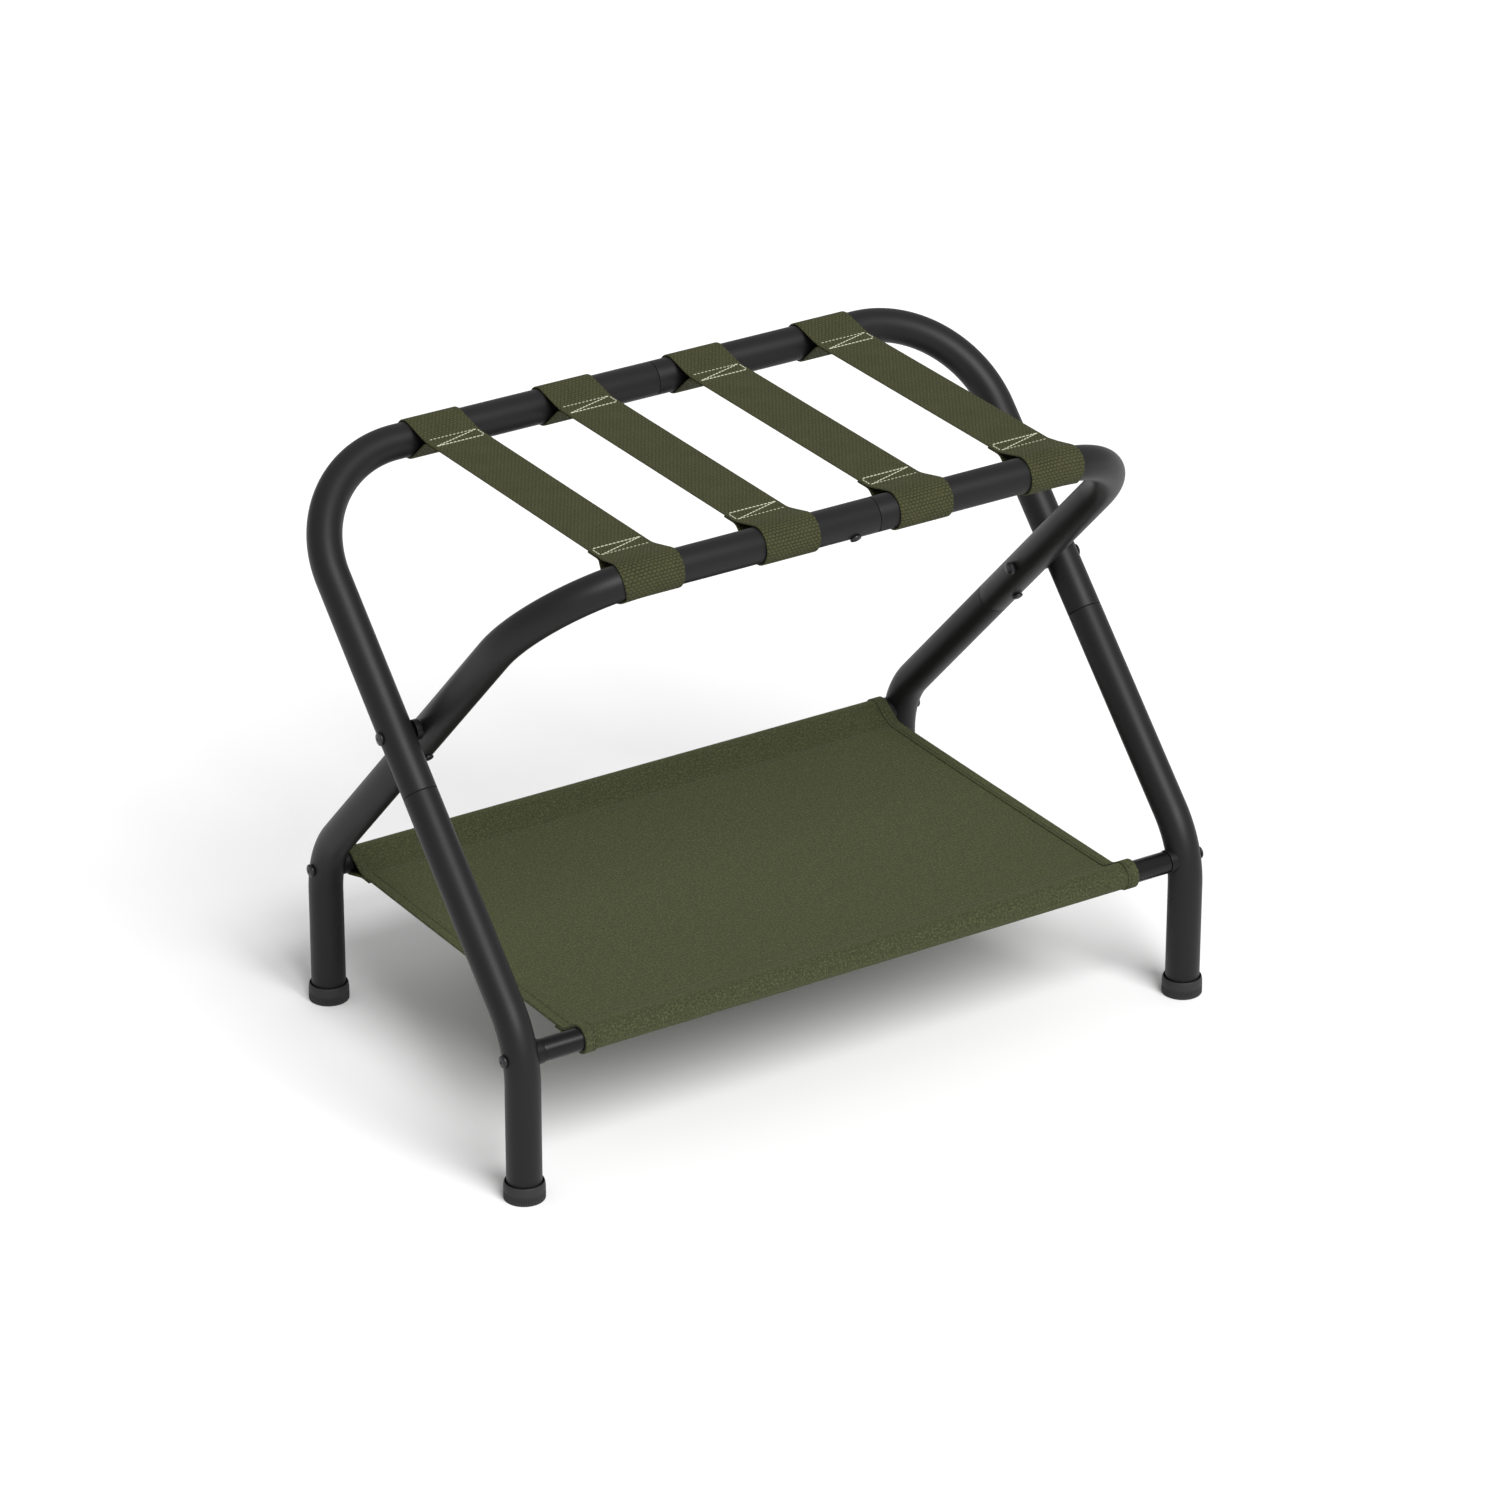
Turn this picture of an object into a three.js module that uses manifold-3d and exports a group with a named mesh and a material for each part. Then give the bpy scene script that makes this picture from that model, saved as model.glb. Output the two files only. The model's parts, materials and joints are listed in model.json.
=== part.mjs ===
// Folding luggage rack, standing open. Two U-shaped tube frames cross on a pivot at each side.
// Four webbing straps join the top bars and a canvas shelf joins the lower bars.
//
// Millimetres. +X runs along the top bars, +Y to the back and +Z up. The origin is on the
// floor, midway between the four feet. The outer frame has its top bar at the back and its
// feet at the front; the narrower inner frame is the other way round.

import * as THREE from 'three';
import { mergeVertices } from 'three/addons/utils/BufferGeometryUtils.js';
import Module from 'manifold-3d';

const wasm = await Module();
wasm.setup();

// ---------------------------------------------------------------- driving dimensions

// Frames
const TUBE_OD = 29;
const TUBE_WALL = 1.2;
const OUTER_WIDTH = 642; // between the side tubes' centres
const SIDE_GAP = 6; // between an outer side tube and its inner neighbour
const PIVOT_HEIGHT = 330;
const PIVOT_TO_TOP = 236; // up the slope, to the top bar's centre
const LEAN = 44; // each frame's slope from the vertical, in degrees
const FOOT_REACH = 188; // from the middle of the rack to a vertical leg's centre
const CORNER_RADIUS = 98; // of the tube's centre line, as every bend here
const KNEE_RADIUS = 85;

// Plug-in joints: the male end is swaged down and slides into the plain end
const TOP_SEAM = 20; // where the top bar's halves meet, right of the middle
const OUTER_SIDE_SEAM = 52; // down the slope from the pivot
const INNER_SIDE_SEAM = 65;
const SPIGOT_LENGTH = 40;
const SHOULDER = 4; // length over which the swaged wall steps down
const TOP_SCREW_INSET = 22; // from the seam to the screw, on the plain end's side
const SIDE_SCREW_INSET = 32;

// Shelf bars
const BAR_OD = 19;
const BAR_WALL = 1.2;
const BAR_ABOVE_BEND = 23.5; // over the lower end of the knee bend
const CAP_LIP = 0.7; // the end cap stands this proud of the bar all round
const CAP_LENGTH = 3.5; // from the leg's surface to the bar's end
const CAP_PLUG = 20; // length inside the bar
const CAP_CHAMFER = 1;

// Screws and pivots
const SCREW_D = 6;
const SCREW_HEAD_D = 11;
const SCREW_HEAD_HEIGHT = 3;
const SCREW_BITE = 14; // length in the end cap's plug
const JOINT_SCREW_D = 5;
const JOINT_SCREW_HEAD_D = 9.4;
const JOINT_SCREW_HEAD_HEIGHT = 2.6;
const JOINT_SCREW_LENGTH = 9;
const PIVOT_BOLT_D = 6;
const PIVOT_HEAD_D = 11;
const PIVOT_HEAD_HEIGHT = 2.2;
const PIVOT_NUT_LENGTH = 5;
const PIVOT_NUT_BORE = 3.4; // depth of the blind thread
const PIVOT_NUT_RIM = 3; // height of the nut's straight side under its dome
const PIVOT_NUT_CROWN_D = 6.6;
const SPACER_OD = 17;
const PAN_RIM_SHARE = 0.5; // height of a pan head's straight side, over the head's height
const PAN_CROWN_SHARE = 0.7; // diameter of its flat crown, over the head's diameter

// Feet
const FOOT_WALL = 2.5; // plastic outside the tube
const FOOT_HEIGHT = 15.5;
const FOOT_FLOOR = 4; // plastic under the tube's end
const FOOT_BAND = 8.6; // height of the straight gripping band
const FOOT_EDGE = 0.8; // chamfer round the sole
const FOOT_RIM = 1; // thickness of the upper rim
const FOOT_GROOVE = 2.8; // depth of the groove between the rim and the tube

// Straps
const STRAP_COUNT = 4;
const STRAP_WIDTH = 50;
const STRAP_THICKNESS = 1.6;
const STRAP_DROP = 5; // from the top of the bars down to the strap's top surface
const STRAP_NOSE = 16.5; // from the bar's surface to where the loop closes
const STRAP_LAP = 16; // stitched double layer beyond the loop

// Shelf
const SHELF_THICKNESS = 1.2;
const SHELF_DROP = 11.7;
const SHELF_NOSE = 14.5;
const SHELF_LAP = 12;
const SHELF_SIDE_CLEARANCE = 0.5; // from the shelf's side to the rear bar's end caps

// Clearances
const JOINT_GAP = 0.3; // between touching pieces
const LOOP_GAP = 0.4; // round the bar inside a strap's loop or the shelf's sleeve

// Roundness
const TUBE_SIDES = 16; // a multiple of four, so that tubes on different axes line up
const HOLE_SIDES = 10;
const SMALL_SIDES = 12;
const LOOP_STEPS = 12;
const CORNER_STEPS = 7;
const KNEE_STEPS = 5;
const SHOULDER_STEPS = 3;
const BENT_STRAP_STEPS = 4;

// ---------------------------------------------------------------- worked-out sizes

const lean = THREE.MathUtils.degToRad(LEAN);
const INNER_WIDTH = OUTER_WIDTH - 2 * (TUBE_OD + SIDE_GAP);
const tubeRadius = TUBE_OD / 2;
const kneeHeight = PIVOT_HEIGHT - FOOT_REACH / Math.tan(lean);
const bendEndHeight = kneeHeight - KNEE_RADIUS * Math.tan(lean / 2);
const barHeight = bendEndHeight + BAR_ABOVE_BEND;
const barSetback = KNEE_RADIUS - Math.sqrt(KNEE_RADIUS ** 2 - BAR_ABOVE_BEND ** 2);
const barReach = FOOT_REACH - barSetback; // from the middle to a shelf bar's centre
const topHeight = PIVOT_HEIGHT + PIVOT_TO_TOP * Math.cos(lean);
const topReach = PIVOT_TO_TOP * Math.sin(lean);
const footRadius = tubeRadius + FOOT_WALL;
const spigotRadius = tubeRadius - TUBE_WALL - JOINT_GAP;
const innerStraight = INNER_WIDTH / 2 - CORNER_RADIUS; // half the front top bar's straight length
const shelfWidth = INNER_WIDTH - TUBE_OD - 2 * (CAP_LENGTH + SHELF_SIDE_CLEARANCE);

// ---------------------------------------------------------------- materials

const paint = new THREE.MeshStandardMaterial({ color: 0x343436, roughness: 0.48, metalness: 0.1 });
const barPaint = new THREE.MeshStandardMaterial({ color: 0x1b1b1d, roughness: 0.35, metalness: 0.1 });
const plastic = new THREE.MeshStandardMaterial({ color: 0x3a3a3b, roughness: 0.62, metalness: 0 });
const darkPlastic = new THREE.MeshStandardMaterial({ color: 0x151516, roughness: 0.5, metalness: 0 });
const blackSteel = new THREE.MeshStandardMaterial({ color: 0x1e1e20, roughness: 0.38, metalness: 0.6 });
const webbing = new THREE.MeshStandardMaterial({ color: 0x50532f, roughness: 0.9, metalness: 0 });
const canvas = new THREE.MeshStandardMaterial({ color: 0x4d5236, roughness: 0.92, metalness: 0 });

// ---------------------------------------------------------------- geometry helpers

const X_AXIS = new THREE.Vector3(1, 0, 0);
const Y_AXIS = new THREE.Vector3(0, 1, 0);

const at = (x, y, z) => new THREE.Vector3(x, y, z);

// A tube's centre line, given as the stations where its cross-sections stand.
class TubePath extends THREE.Curve {
  constructor(stations) {
    super();
    this.stations = stations;
  }

  station(t) {
    return this.stations[Math.round(t * (this.stations.length - 1))];
  }

  getPoint(t, target = new THREE.Vector3()) {
    return target.copy(this.station(t).point);
  }

  getSpacedPoints() {
    return this.stations.map(({ point }) => point.clone());
  }

  getTangentAt(t, target = new THREE.Vector3()) {
    return target.copy(this.station(t).tangent);
  }
}

function straightPath(from, to) {
  const tangent = to.clone().sub(from).normalize();
  return new TubePath([{ point: from, tangent }, { point: to, tangent }]);
}

// A path through one corner, rounded to a radius, with each end moved out by an overrun.
function bentPath([start, corner, end], radius, steps, overrunStart = 0, overrunEnd = 0) {
  const first = corner.clone().sub(start).normalize();
  const last = end.clone().sub(corner).normalize();
  const turn = first.angleTo(last);
  const tangentLength = radius * Math.tan(turn / 2);
  const side = last.clone().addScaledVector(first, -last.dot(first)).normalize();
  const bendStart = corner.clone().addScaledVector(first, -tangentLength);
  const centre = bendStart.clone().addScaledVector(side, radius);
  const stations = [{ point: start.clone().addScaledVector(first, -overrunStart), tangent: first }];
  for (let i = 0; i <= steps; i += 1) {
    const angle = (turn * i) / steps;
    const point = centre
      .clone()
      .addScaledVector(side, -radius * Math.cos(angle))
      .addScaledVector(first, radius * Math.sin(angle));
    const tangent = first
      .clone()
      .multiplyScalar(Math.cos(angle))
      .addScaledVector(side, Math.sin(angle));
    stations.push({ point, tangent });
  }
  stations.push({ point: end.clone().addScaledVector(last, overrunEnd), tangent: last });
  return new TubePath(stations);
}

function circlePoints(radius, sides) {
  const points = [];
  for (let i = 0; i < sides; i += 1) {
    const angle = (2 * Math.PI * i) / sides;
    points.push(new THREE.Vector2(radius * Math.cos(angle), radius * Math.sin(angle)));
  }
  return points;
}

function solid(geometry) {
  const bare = geometry.clone();
  bare.deleteAttribute('normal');
  bare.deleteAttribute('uv');
  const merged = mergeVertices(bare);
  return new wasm.Manifold(
    new wasm.Mesh({
      numProp: 3,
      vertProperties: new Float32Array(merged.attributes.position.array),
      triVerts: new Uint32Array(merged.index.array),
    }),
  );
}

function geometryOf(manifold) {
  const { vertProperties, triVerts } = manifold.getMesh();
  const geometry = new THREE.BufferGeometry();
  geometry.setAttribute('position', new THREE.BufferAttribute(vertProperties, 3));
  geometry.setIndex(new THREE.BufferAttribute(triVerts, 1));
  geometry.computeVertexNormals();
  return geometry;
}

// A solid round bar along a path.
function sweep(path, radius, sides = TUBE_SIDES) {
  const section = new THREE.Shape(circlePoints(radius, sides));
  const steps = path.stations.length - 1;
  return solid(new THREE.ExtrudeGeometry(section, { steps, extrudePath: path }));
}

function drill(from, to, radius) {
  return sweep(straightPath(from, to), radius, HOLE_SIDES);
}

// A turned piece: its profile is a list of [radius, height along the axis].
function turned(profile, sides = SMALL_SIDES) {
  const points = profile.map(([radius, height]) => new THREE.Vector2(radius, height));
  return new THREE.LatheGeometry(points, sides);
}

// Stands a turned piece at a place, with the profile's height running along a direction.
function standAlong(mesh, place, direction) {
  mesh.position.copy(place);
  mesh.quaternion.setFromUnitVectors(Y_AXIS, direction);
  return mesh;
}

function piece(name, geometry, material) {
  const mesh = new THREE.Mesh(geometry, material);
  mesh.name = name;
  return mesh;
}

// ---------------------------------------------------------------- tubes

const OVERRUN = 1; // how far a cutter runs past the end that it opens

// A bent tube with a plain start. Its far end is plain, or swaged down to a spigot.
function formedTube(corners, radius, steps, spigot) {
  const bore = tubeRadius - TUBE_WALL;
  if (!spigot) {
    const outside = sweep(bentPath(corners, radius, steps), tubeRadius);
    return outside.subtract(sweep(bentPath(corners, radius, steps, OVERRUN, OVERRUN), bore));
  }
  const end = corners[2];
  const along = end.clone().sub(corners[1]).normalize();
  const tip = end.clone().addScaledVector(along, SPIGOT_LENGTH);
  const root = end.clone().addScaledVector(along, -SHOULDER);
  const outside = sweep(bentPath(corners, radius, steps), tubeRadius).add(
    sweep(straightPath(root, tip), spigotRadius),
  );
  const mainBore = sweep(bentPath(corners, radius, steps, OVERRUN, -SHOULDER), bore);
  const spigotStart = root.clone().addScaledVector(along, -OVERRUN);
  const spigotEnd = tip.clone().addScaledVector(along, OVERRUN);
  const spigotBore = sweep(straightPath(spigotStart, spigotEnd), spigotRadius - TUBE_WALL);
  return outside.subtract(mainBore).subtract(spigotBore);
}

// A hole through one wall of a tube, from its centre line outwards.
function wallHole(centre, outwards, radius) {
  const from = centre.clone().addScaledVector(outwards, tubeRadius / 2);
  const to = centre.clone().addScaledVector(outwards, tubeRadius + OVERRUN);
  return drill(from, to, radius);
}

// A hole through both walls, along X.
function crossHole(centre, radius) {
  const reach = tubeRadius + OVERRUN;
  const from = centre.clone().addScaledVector(X_AXIS, -reach);
  const to = centre.clone().addScaledVector(X_AXIS, reach);
  return drill(from, to, radius);
}

const pivotHole = PIVOT_BOLT_D / 2 + JOINT_GAP;
const screwHole = SCREW_D / 2 + JOINT_GAP;
const jointScrewHole = JOINT_SCREW_D / 2 + JOINT_GAP;

// ---------------------------------------------------------------- screws

// A pan-head screw with the underside of its head at height 0 and its shank pointing down.
function panHeadScrew(headDiameter, headHeight, shankDiameter, shankLength) {
  const head = headDiameter / 2;
  const shank = shankDiameter / 2;
  return turned([
    [0, -shankLength],
    [shank, -shankLength],
    [shank, 0],
    [head, 0],
    [head, headHeight * PAN_RIM_SHARE],
    [head * PAN_CROWN_SHARE, headHeight],
    [0, headHeight],
  ]);
}

// ---------------------------------------------------------------- one frame

const sides = [
  { side: 'left', sign: -1 },
  { side: 'right', sign: 1 },
];

// A point on a frame's slope, a distance up from the pivot. Facing is 1 where the frame leans
// to the back and -1 where it leans to the front.
const onSlope = (x, facing, distance) =>
  at(x, facing * Math.sin(lean) * distance, PIVOT_HEIGHT + Math.cos(lean) * distance);

// A leg's corners, from its lower end over the knee to the seam below the pivot.
const legCorners = (x, facing, sideSeam) => [
  at(x, -facing * FOOT_REACH, FOOT_FLOOR + JOINT_GAP),
  at(x, -facing * FOOT_REACH, kneeHeight),
  onSlope(x, facing, -sideSeam - JOINT_GAP),
];

const barPlace = (x, facing) => at(x, -facing * barReach, barHeight);

// The U above the side seams: two bent halves and the screws of the joints.
// Inside its group the frame stands in the XZ plane with the pivot at the origin.
function upperFrame({ name, width, facing, sideSeam }) {
  const upper = new THREE.Group();
  upper.position.z = PIVOT_HEIGHT;
  upper.rotation.x = -facing * lean;
  const underside = at(0, facing, 0);
  const topScrew = at(TOP_SEAM - TOP_SCREW_INSET, 0, PIVOT_TO_TOP);
  const screwSeat = tubeRadius + JOINT_GAP;

  for (const { side, sign } of sides) {
    const x = (sign * width) / 2;
    const male = side === 'right';
    const seam = male ? TOP_SEAM + JOINT_GAP : TOP_SEAM;
    const corners = [at(x, 0, -sideSeam), at(x, 0, PIVOT_TO_TOP), at(seam, 0, PIVOT_TO_TOP)];
    const sideScrew = at(x, 0, -sideSeam + SIDE_SCREW_INSET);
    const tube = formedTube(corners, CORNER_RADIUS, CORNER_STEPS, male)
      .subtract(crossHole(at(x, 0, 0), pivotHole))
      .subtract(wallHole(sideScrew, underside, jointScrewHole))
      .subtract(wallHole(topScrew, underside, jointScrewHole));
    upper.add(piece(`${name}_upper_${side}`, geometryOf(tube), paint));

    const screw = piece(`${name}_side_screw_${side}`, jointScrew(), blackSteel);
    upper.add(standAlong(screw, sideScrew.clone().addScaledVector(underside, screwSeat), underside));
  }

  const screw = piece(`${name}_top_screw`, jointScrew(), blackSteel);
  upper.add(standAlong(screw, topScrew.clone().addScaledVector(underside, screwSeat), underside));
  return upper;
}

function jointScrew() {
  return panHeadScrew(
    JOINT_SCREW_HEAD_D,
    JOINT_SCREW_HEAD_HEIGHT,
    JOINT_SCREW_D,
    JOINT_SCREW_LENGTH,
  );
}

// Legs, feet, the shelf bar with its end caps and the screws that hold it.
function lowerFrame({ name, width, facing, sideSeam, end }) {
  const lower = new THREE.Group();
  const underside = at(0, facing * Math.cos(lean), -Math.sin(lean));

  for (const { side, sign } of sides) {
    const x = (sign * width) / 2;
    const corners = legCorners(x, facing, sideSeam);
    const barCentre = barPlace(x, facing);
    const sideScrew = onSlope(x, facing, -sideSeam + SIDE_SCREW_INSET);
    const leg = formedTube(corners, KNEE_RADIUS, KNEE_STEPS, true)
      .subtract(crossHole(barCentre, screwHole))
      .subtract(wallHole(sideScrew, underside, jointScrewHole));
    lower.add(piece(`${name}_leg_${side}`, geometryOf(leg), paint));

    const foot = piece(`foot_${end}_${side}`, footCap(), plastic);
    foot.position.set(x, -facing * FOOT_REACH, 0);
    foot.rotation.x = Math.PI / 2;
    lower.add(foot);

    const inwards = at(-sign, 0, 0);
    const outwards = at(sign, 0, 0);
    const saddle = sweep(bentPath(corners, KNEE_RADIUS, KNEE_STEPS), tubeRadius + JOINT_GAP);
    const cap = solid(capBlank().applyMatrix4(placing(barCentre, inwards))).subtract(saddle);
    lower.add(piece(`bar_cap_${end}_${side}`, geometryOf(cap), darkPlastic));

    const screw = piece(`bar_screw_${end}_${side}`, barScrew(), blackSteel);
    const seat = barCentre.clone().addScaledVector(outwards, tubeRadius + JOINT_GAP);
    lower.add(standAlong(screw, seat, outwards));
  }

  lower.add(piece(`shelf_bar_${end}`, geometryOf(shelfBar(width, facing)), barPaint));
  return lower;
}

function placing(place, direction) {
  const turn = new THREE.Quaternion().setFromUnitVectors(Y_AXIS, direction);
  return new THREE.Matrix4().compose(place, turn, at(1, 1, 1));
}

function shelfBar(width, facing) {
  const endX = width / 2 - tubeRadius - CAP_LENGTH - JOINT_GAP;
  const bar = sweep(straightPath(barPlace(-endX, facing), barPlace(endX, facing)), BAR_OD / 2);
  const boreX = endX + OVERRUN;
  const bore = straightPath(barPlace(-boreX, facing), barPlace(boreX, facing));
  return bar.subtract(sweep(bore, BAR_OD / 2 - BAR_WALL));
}

// The end cap before its saddle is cut: heights run from the leg's centre towards the bar.
function capBlank() {
  const radius = BAR_OD / 2 + CAP_LIP;
  const plug = BAR_OD / 2 - BAR_WALL - JOINT_GAP;
  const face = tubeRadius + CAP_LENGTH;
  const tip = face + CAP_PLUG;
  return turned(
    [
      [screwHole, 0],
      [radius, 0],
      [radius, face],
      [plug, face],
      [plug, tip - CAP_CHAMFER],
      [plug - CAP_CHAMFER, tip],
      [screwHole, tip],
      [screwHole, 0],
    ],
    TUBE_SIDES,
  );
}

function barScrew() {
  const length = TUBE_OD + JOINT_GAP + CAP_LENGTH + SCREW_BITE;
  return panHeadScrew(SCREW_HEAD_D, SCREW_HEAD_HEIGHT, SCREW_D, length);
}

// A cup that the leg's end stands in. Heights run up from the floor.
function footCap() {
  const bore = tubeRadius + JOINT_GAP;
  const rim = bore + FOOT_RIM;
  const profile = [
    [0, 0],
    [footRadius - FOOT_EDGE, 0],
    [footRadius, FOOT_EDGE],
  ];
  for (let i = 0; i <= SHOULDER_STEPS; i += 1) {
    const angle = (Math.PI / 2) * (i / SHOULDER_STEPS);
    const radius = rim + (footRadius - rim) * Math.cos(angle);
    profile.push([radius, FOOT_BAND + (FOOT_HEIGHT - FOOT_BAND) * Math.sin(angle)]);
  }
  profile.push([bore, FOOT_HEIGHT - FOOT_GROOVE], [bore, FOOT_FLOOR], [0, FOOT_FLOOR]);
  return turned(profile, TUBE_SIDES);
}

// ---------------------------------------------------------------- pivots

function pivots() {
  const group = new THREE.Group();
  const boltHead = OUTER_WIDTH / 2 + tubeRadius + JOINT_GAP;
  const nutFace = INNER_WIDTH / 2 - tubeRadius - JOINT_GAP;
  const shank = boltHead - nutFace + PIVOT_NUT_BORE - JOINT_GAP;
  const spacerLength = SIDE_GAP - 2 * JOINT_GAP;

  for (const { side, sign } of sides) {
    const outwards = at(sign, 0, 0);
    const inwards = at(-sign, 0, 0);

    const boltShape = panHeadScrew(PIVOT_HEAD_D, PIVOT_HEAD_HEIGHT, PIVOT_BOLT_D, shank);
    const bolt = piece(`pivot_bolt_${side}`, boltShape, blackSteel);
    group.add(standAlong(bolt, at(sign * boltHead, 0, PIVOT_HEIGHT), outwards));

    const spacerShape = turned([
      [pivotHole, 0],
      [SPACER_OD / 2, 0],
      [SPACER_OD / 2, spacerLength],
      [pivotHole, spacerLength],
      [pivotHole, 0],
    ]);
    const spacer = piece(`pivot_spacer_${side}`, spacerShape, darkPlastic);
    const spacerX = INNER_WIDTH / 2 + tubeRadius + JOINT_GAP;
    group.add(standAlong(spacer, at(sign * spacerX, 0, PIVOT_HEIGHT), outwards));

    const nutShape = turned([
      [0, PIVOT_NUT_BORE],
      [pivotHole, PIVOT_NUT_BORE],
      [pivotHole, 0],
      [PIVOT_HEAD_D / 2, 0],
      [PIVOT_HEAD_D / 2, PIVOT_NUT_RIM],
      [PIVOT_NUT_CROWN_D / 2, PIVOT_NUT_LENGTH],
      [0, PIVOT_NUT_LENGTH],
    ]);
    const nut = piece(`pivot_nut_${side}`, nutShape, blackSteel);
    group.add(standAlong(nut, at(sign * nutFace, 0, PIVOT_HEIGHT), inwards));
  }
  return group;
}

// ---------------------------------------------------------------- straps and shelf

// A fabric band seen from its edge: a loop round a bar at the origin, closed at the nose by a
// stitched lap, and one layer from there to the middle of the rack. x runs to the middle.
function loopProfile({ barRadius, thickness, drop, noseGap, lap, reach }) {
  // The loop is a polygon, so its corners stand out far enough for its sides to keep the gap.
  const inner = (barRadius + LOOP_GAP) / Math.cos(Math.PI / LOOP_STEPS);
  const outer = inner + thickness;
  const rise = barRadius - drop;
  const nose = barRadius + noseGap;

  const tangentAngle = (x, y, radius, turn) =>
    Math.atan2(y, x) + turn * Math.acos(radius / Math.hypot(x, y));

  const arc = (radius, start, end) => {
    const points = [];
    for (let i = 0; i <= LOOP_STEPS; i += 1) {
      const angle = start + ((end - start) * i) / LOOP_STEPS;
      points.push(new THREE.Vector2(radius * Math.cos(angle), radius * Math.sin(angle)));
    }
    return points;
  };

  const under = rise - thickness;
  const lapUnder = under - thickness;
  const upperStart = tangentAngle(nose, rise, outer, 1);
  const lowerEnd = tangentAngle(nose, lapUnder, outer, -1) + 2 * Math.PI;
  const profile = new THREE.Shape([
    new THREE.Vector2(reach, rise),
    new THREE.Vector2(nose, rise),
    ...arc(outer, upperStart, lowerEnd),
    new THREE.Vector2(nose, lapUnder),
    new THREE.Vector2(nose + lap, lapUnder),
    new THREE.Vector2(nose + lap, under),
    new THREE.Vector2(reach, under),
  ]);
  const holeStart = tangentAngle(nose, under, inner, 1);
  const holeEnd = tangentAngle(nose, under, inner, -1) + 2 * Math.PI;
  const hole = [new THREE.Vector2(nose, under), ...arc(inner, holeStart, holeEnd)];
  profile.holes.push(new THREE.Path(hole));
  return profile;
}

// Stretches a profile across a width, with its loop round a bar and its free end in the middle.
// Toward is 1 where the middle is behind the bar and -1 where it is in front of it.
function fabricBand(profile, width, place, toward, steps) {
  const band = new THREE.ExtrudeGeometry(profile, { depth: width, steps, bevelEnabled: false });
  band.translate(0, 0, -width / 2);
  const basis = new THREE.Matrix4().makeBasis(at(0, toward, 0), at(0, 0, 1), at(toward, 0, 0));
  return band.applyMatrix4(basis.setPosition(place));
}

// Where a loop runs past the straight part of a top bar, it follows the bar round its corner.
// The bend fades out between the loop and the nose.
function followCorner(band, facing, straight) {
  const slope = at(0, facing * Math.sin(lean), Math.cos(lean));
  const bar = at(0, facing * topReach, topHeight);
  const nose = tubeRadius + STRAP_NOSE;
  const position = band.attributes.position;
  const point = at(0, 0, 0);
  for (let i = 0; i < position.count; i += 1) {
    point.fromBufferAttribute(position, i);
    const past = Math.abs(point.x) - straight;
    const inboard = Math.abs(point.y - bar.y);
    const fade = (inboard - tubeRadius) / (nose - tubeRadius);
    const weight = 1 - THREE.MathUtils.clamp(fade, 0, 1);
    if (past > 0 && weight > 0) {
      const angle = past / CORNER_RADIUS;
      const offset = point.clone().sub(bar).dot(slope);
      const arm = CORNER_RADIUS + offset;
      const shiftX = arm * Math.sin(angle) - past;
      const shiftSlope = arm * Math.cos(angle) - arm;
      point.x += Math.sign(point.x) * shiftX * weight;
      point.addScaledVector(slope, shiftSlope * weight);
      position.setXYZ(i, point.x, point.y, point.z);
    }
  }
  return band;
}

function straps() {
  const group = new THREE.Group();
  const profile = loopProfile({
    barRadius: tubeRadius,
    thickness: STRAP_THICKNESS,
    drop: STRAP_DROP,
    noseGap: STRAP_NOSE,
    lap: STRAP_LAP,
    reach: topReach - JOINT_GAP / 2,
  });
  const pitch = (2 * innerStraight) / (STRAP_COUNT - 1);
  for (const { end, facing, width } of frames) {
    const straight = width / 2 - CORNER_RADIUS;
    for (let i = 0; i < STRAP_COUNT; i += 1) {
      const x = pitch * i - innerStraight;
      const bends = Math.abs(x) + STRAP_WIDTH / 2 > straight;
      const place = at(x, facing * topReach, topHeight);
      const steps = bends ? BENT_STRAP_STEPS : 1;
      const band = fabricBand(profile, STRAP_WIDTH, place, -facing, steps);
      followCorner(band, facing, straight);
      const name = `strap_${i + 1}_${end === 'front' ? 'rear' : 'front'}_half`;
      group.add(piece(name, band, webbing));
    }
  }
  return group;
}

function shelf() {
  const group = new THREE.Group();
  const profile = loopProfile({
    barRadius: BAR_OD / 2,
    thickness: SHELF_THICKNESS,
    drop: SHELF_DROP,
    noseGap: SHELF_NOSE,
    lap: SHELF_LAP,
    reach: barReach - JOINT_GAP / 2,
  });
  for (const { end, facing } of frames) {
    const band = fabricBand(profile, shelfWidth, barPlace(0, facing), facing, 1);
    group.add(piece(`shelf_${end}_half`, band, canvas));
  }
  return group;
}

// ---------------------------------------------------------------- the rack

// End names where the frame's feet and shelf bar are.
const frames = [
  { name: 'outer', width: OUTER_WIDTH, facing: 1, sideSeam: OUTER_SIDE_SEAM, end: 'front' },
  { name: 'inner', width: INNER_WIDTH, facing: -1, sideSeam: INNER_SIDE_SEAM, end: 'rear' },
];

const rack = new THREE.Group();
for (const frame of frames) {
  rack.add(upperFrame(frame), lowerFrame(frame));
}
rack.add(pivots(), straps(), shelf());

export default rack;
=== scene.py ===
"""Folding luggage rack: bent tube frames, webbing straps and a canvas shelf.

Metres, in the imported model's frame: +X along the top bars, +Y to the back, +Z up. The outer
frame has its top bar at the back and its feet at the front; the inner frame is reversed.
"""

import json
import math

import bmesh
import bpy
from mathutils import Matrix, Vector


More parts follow.
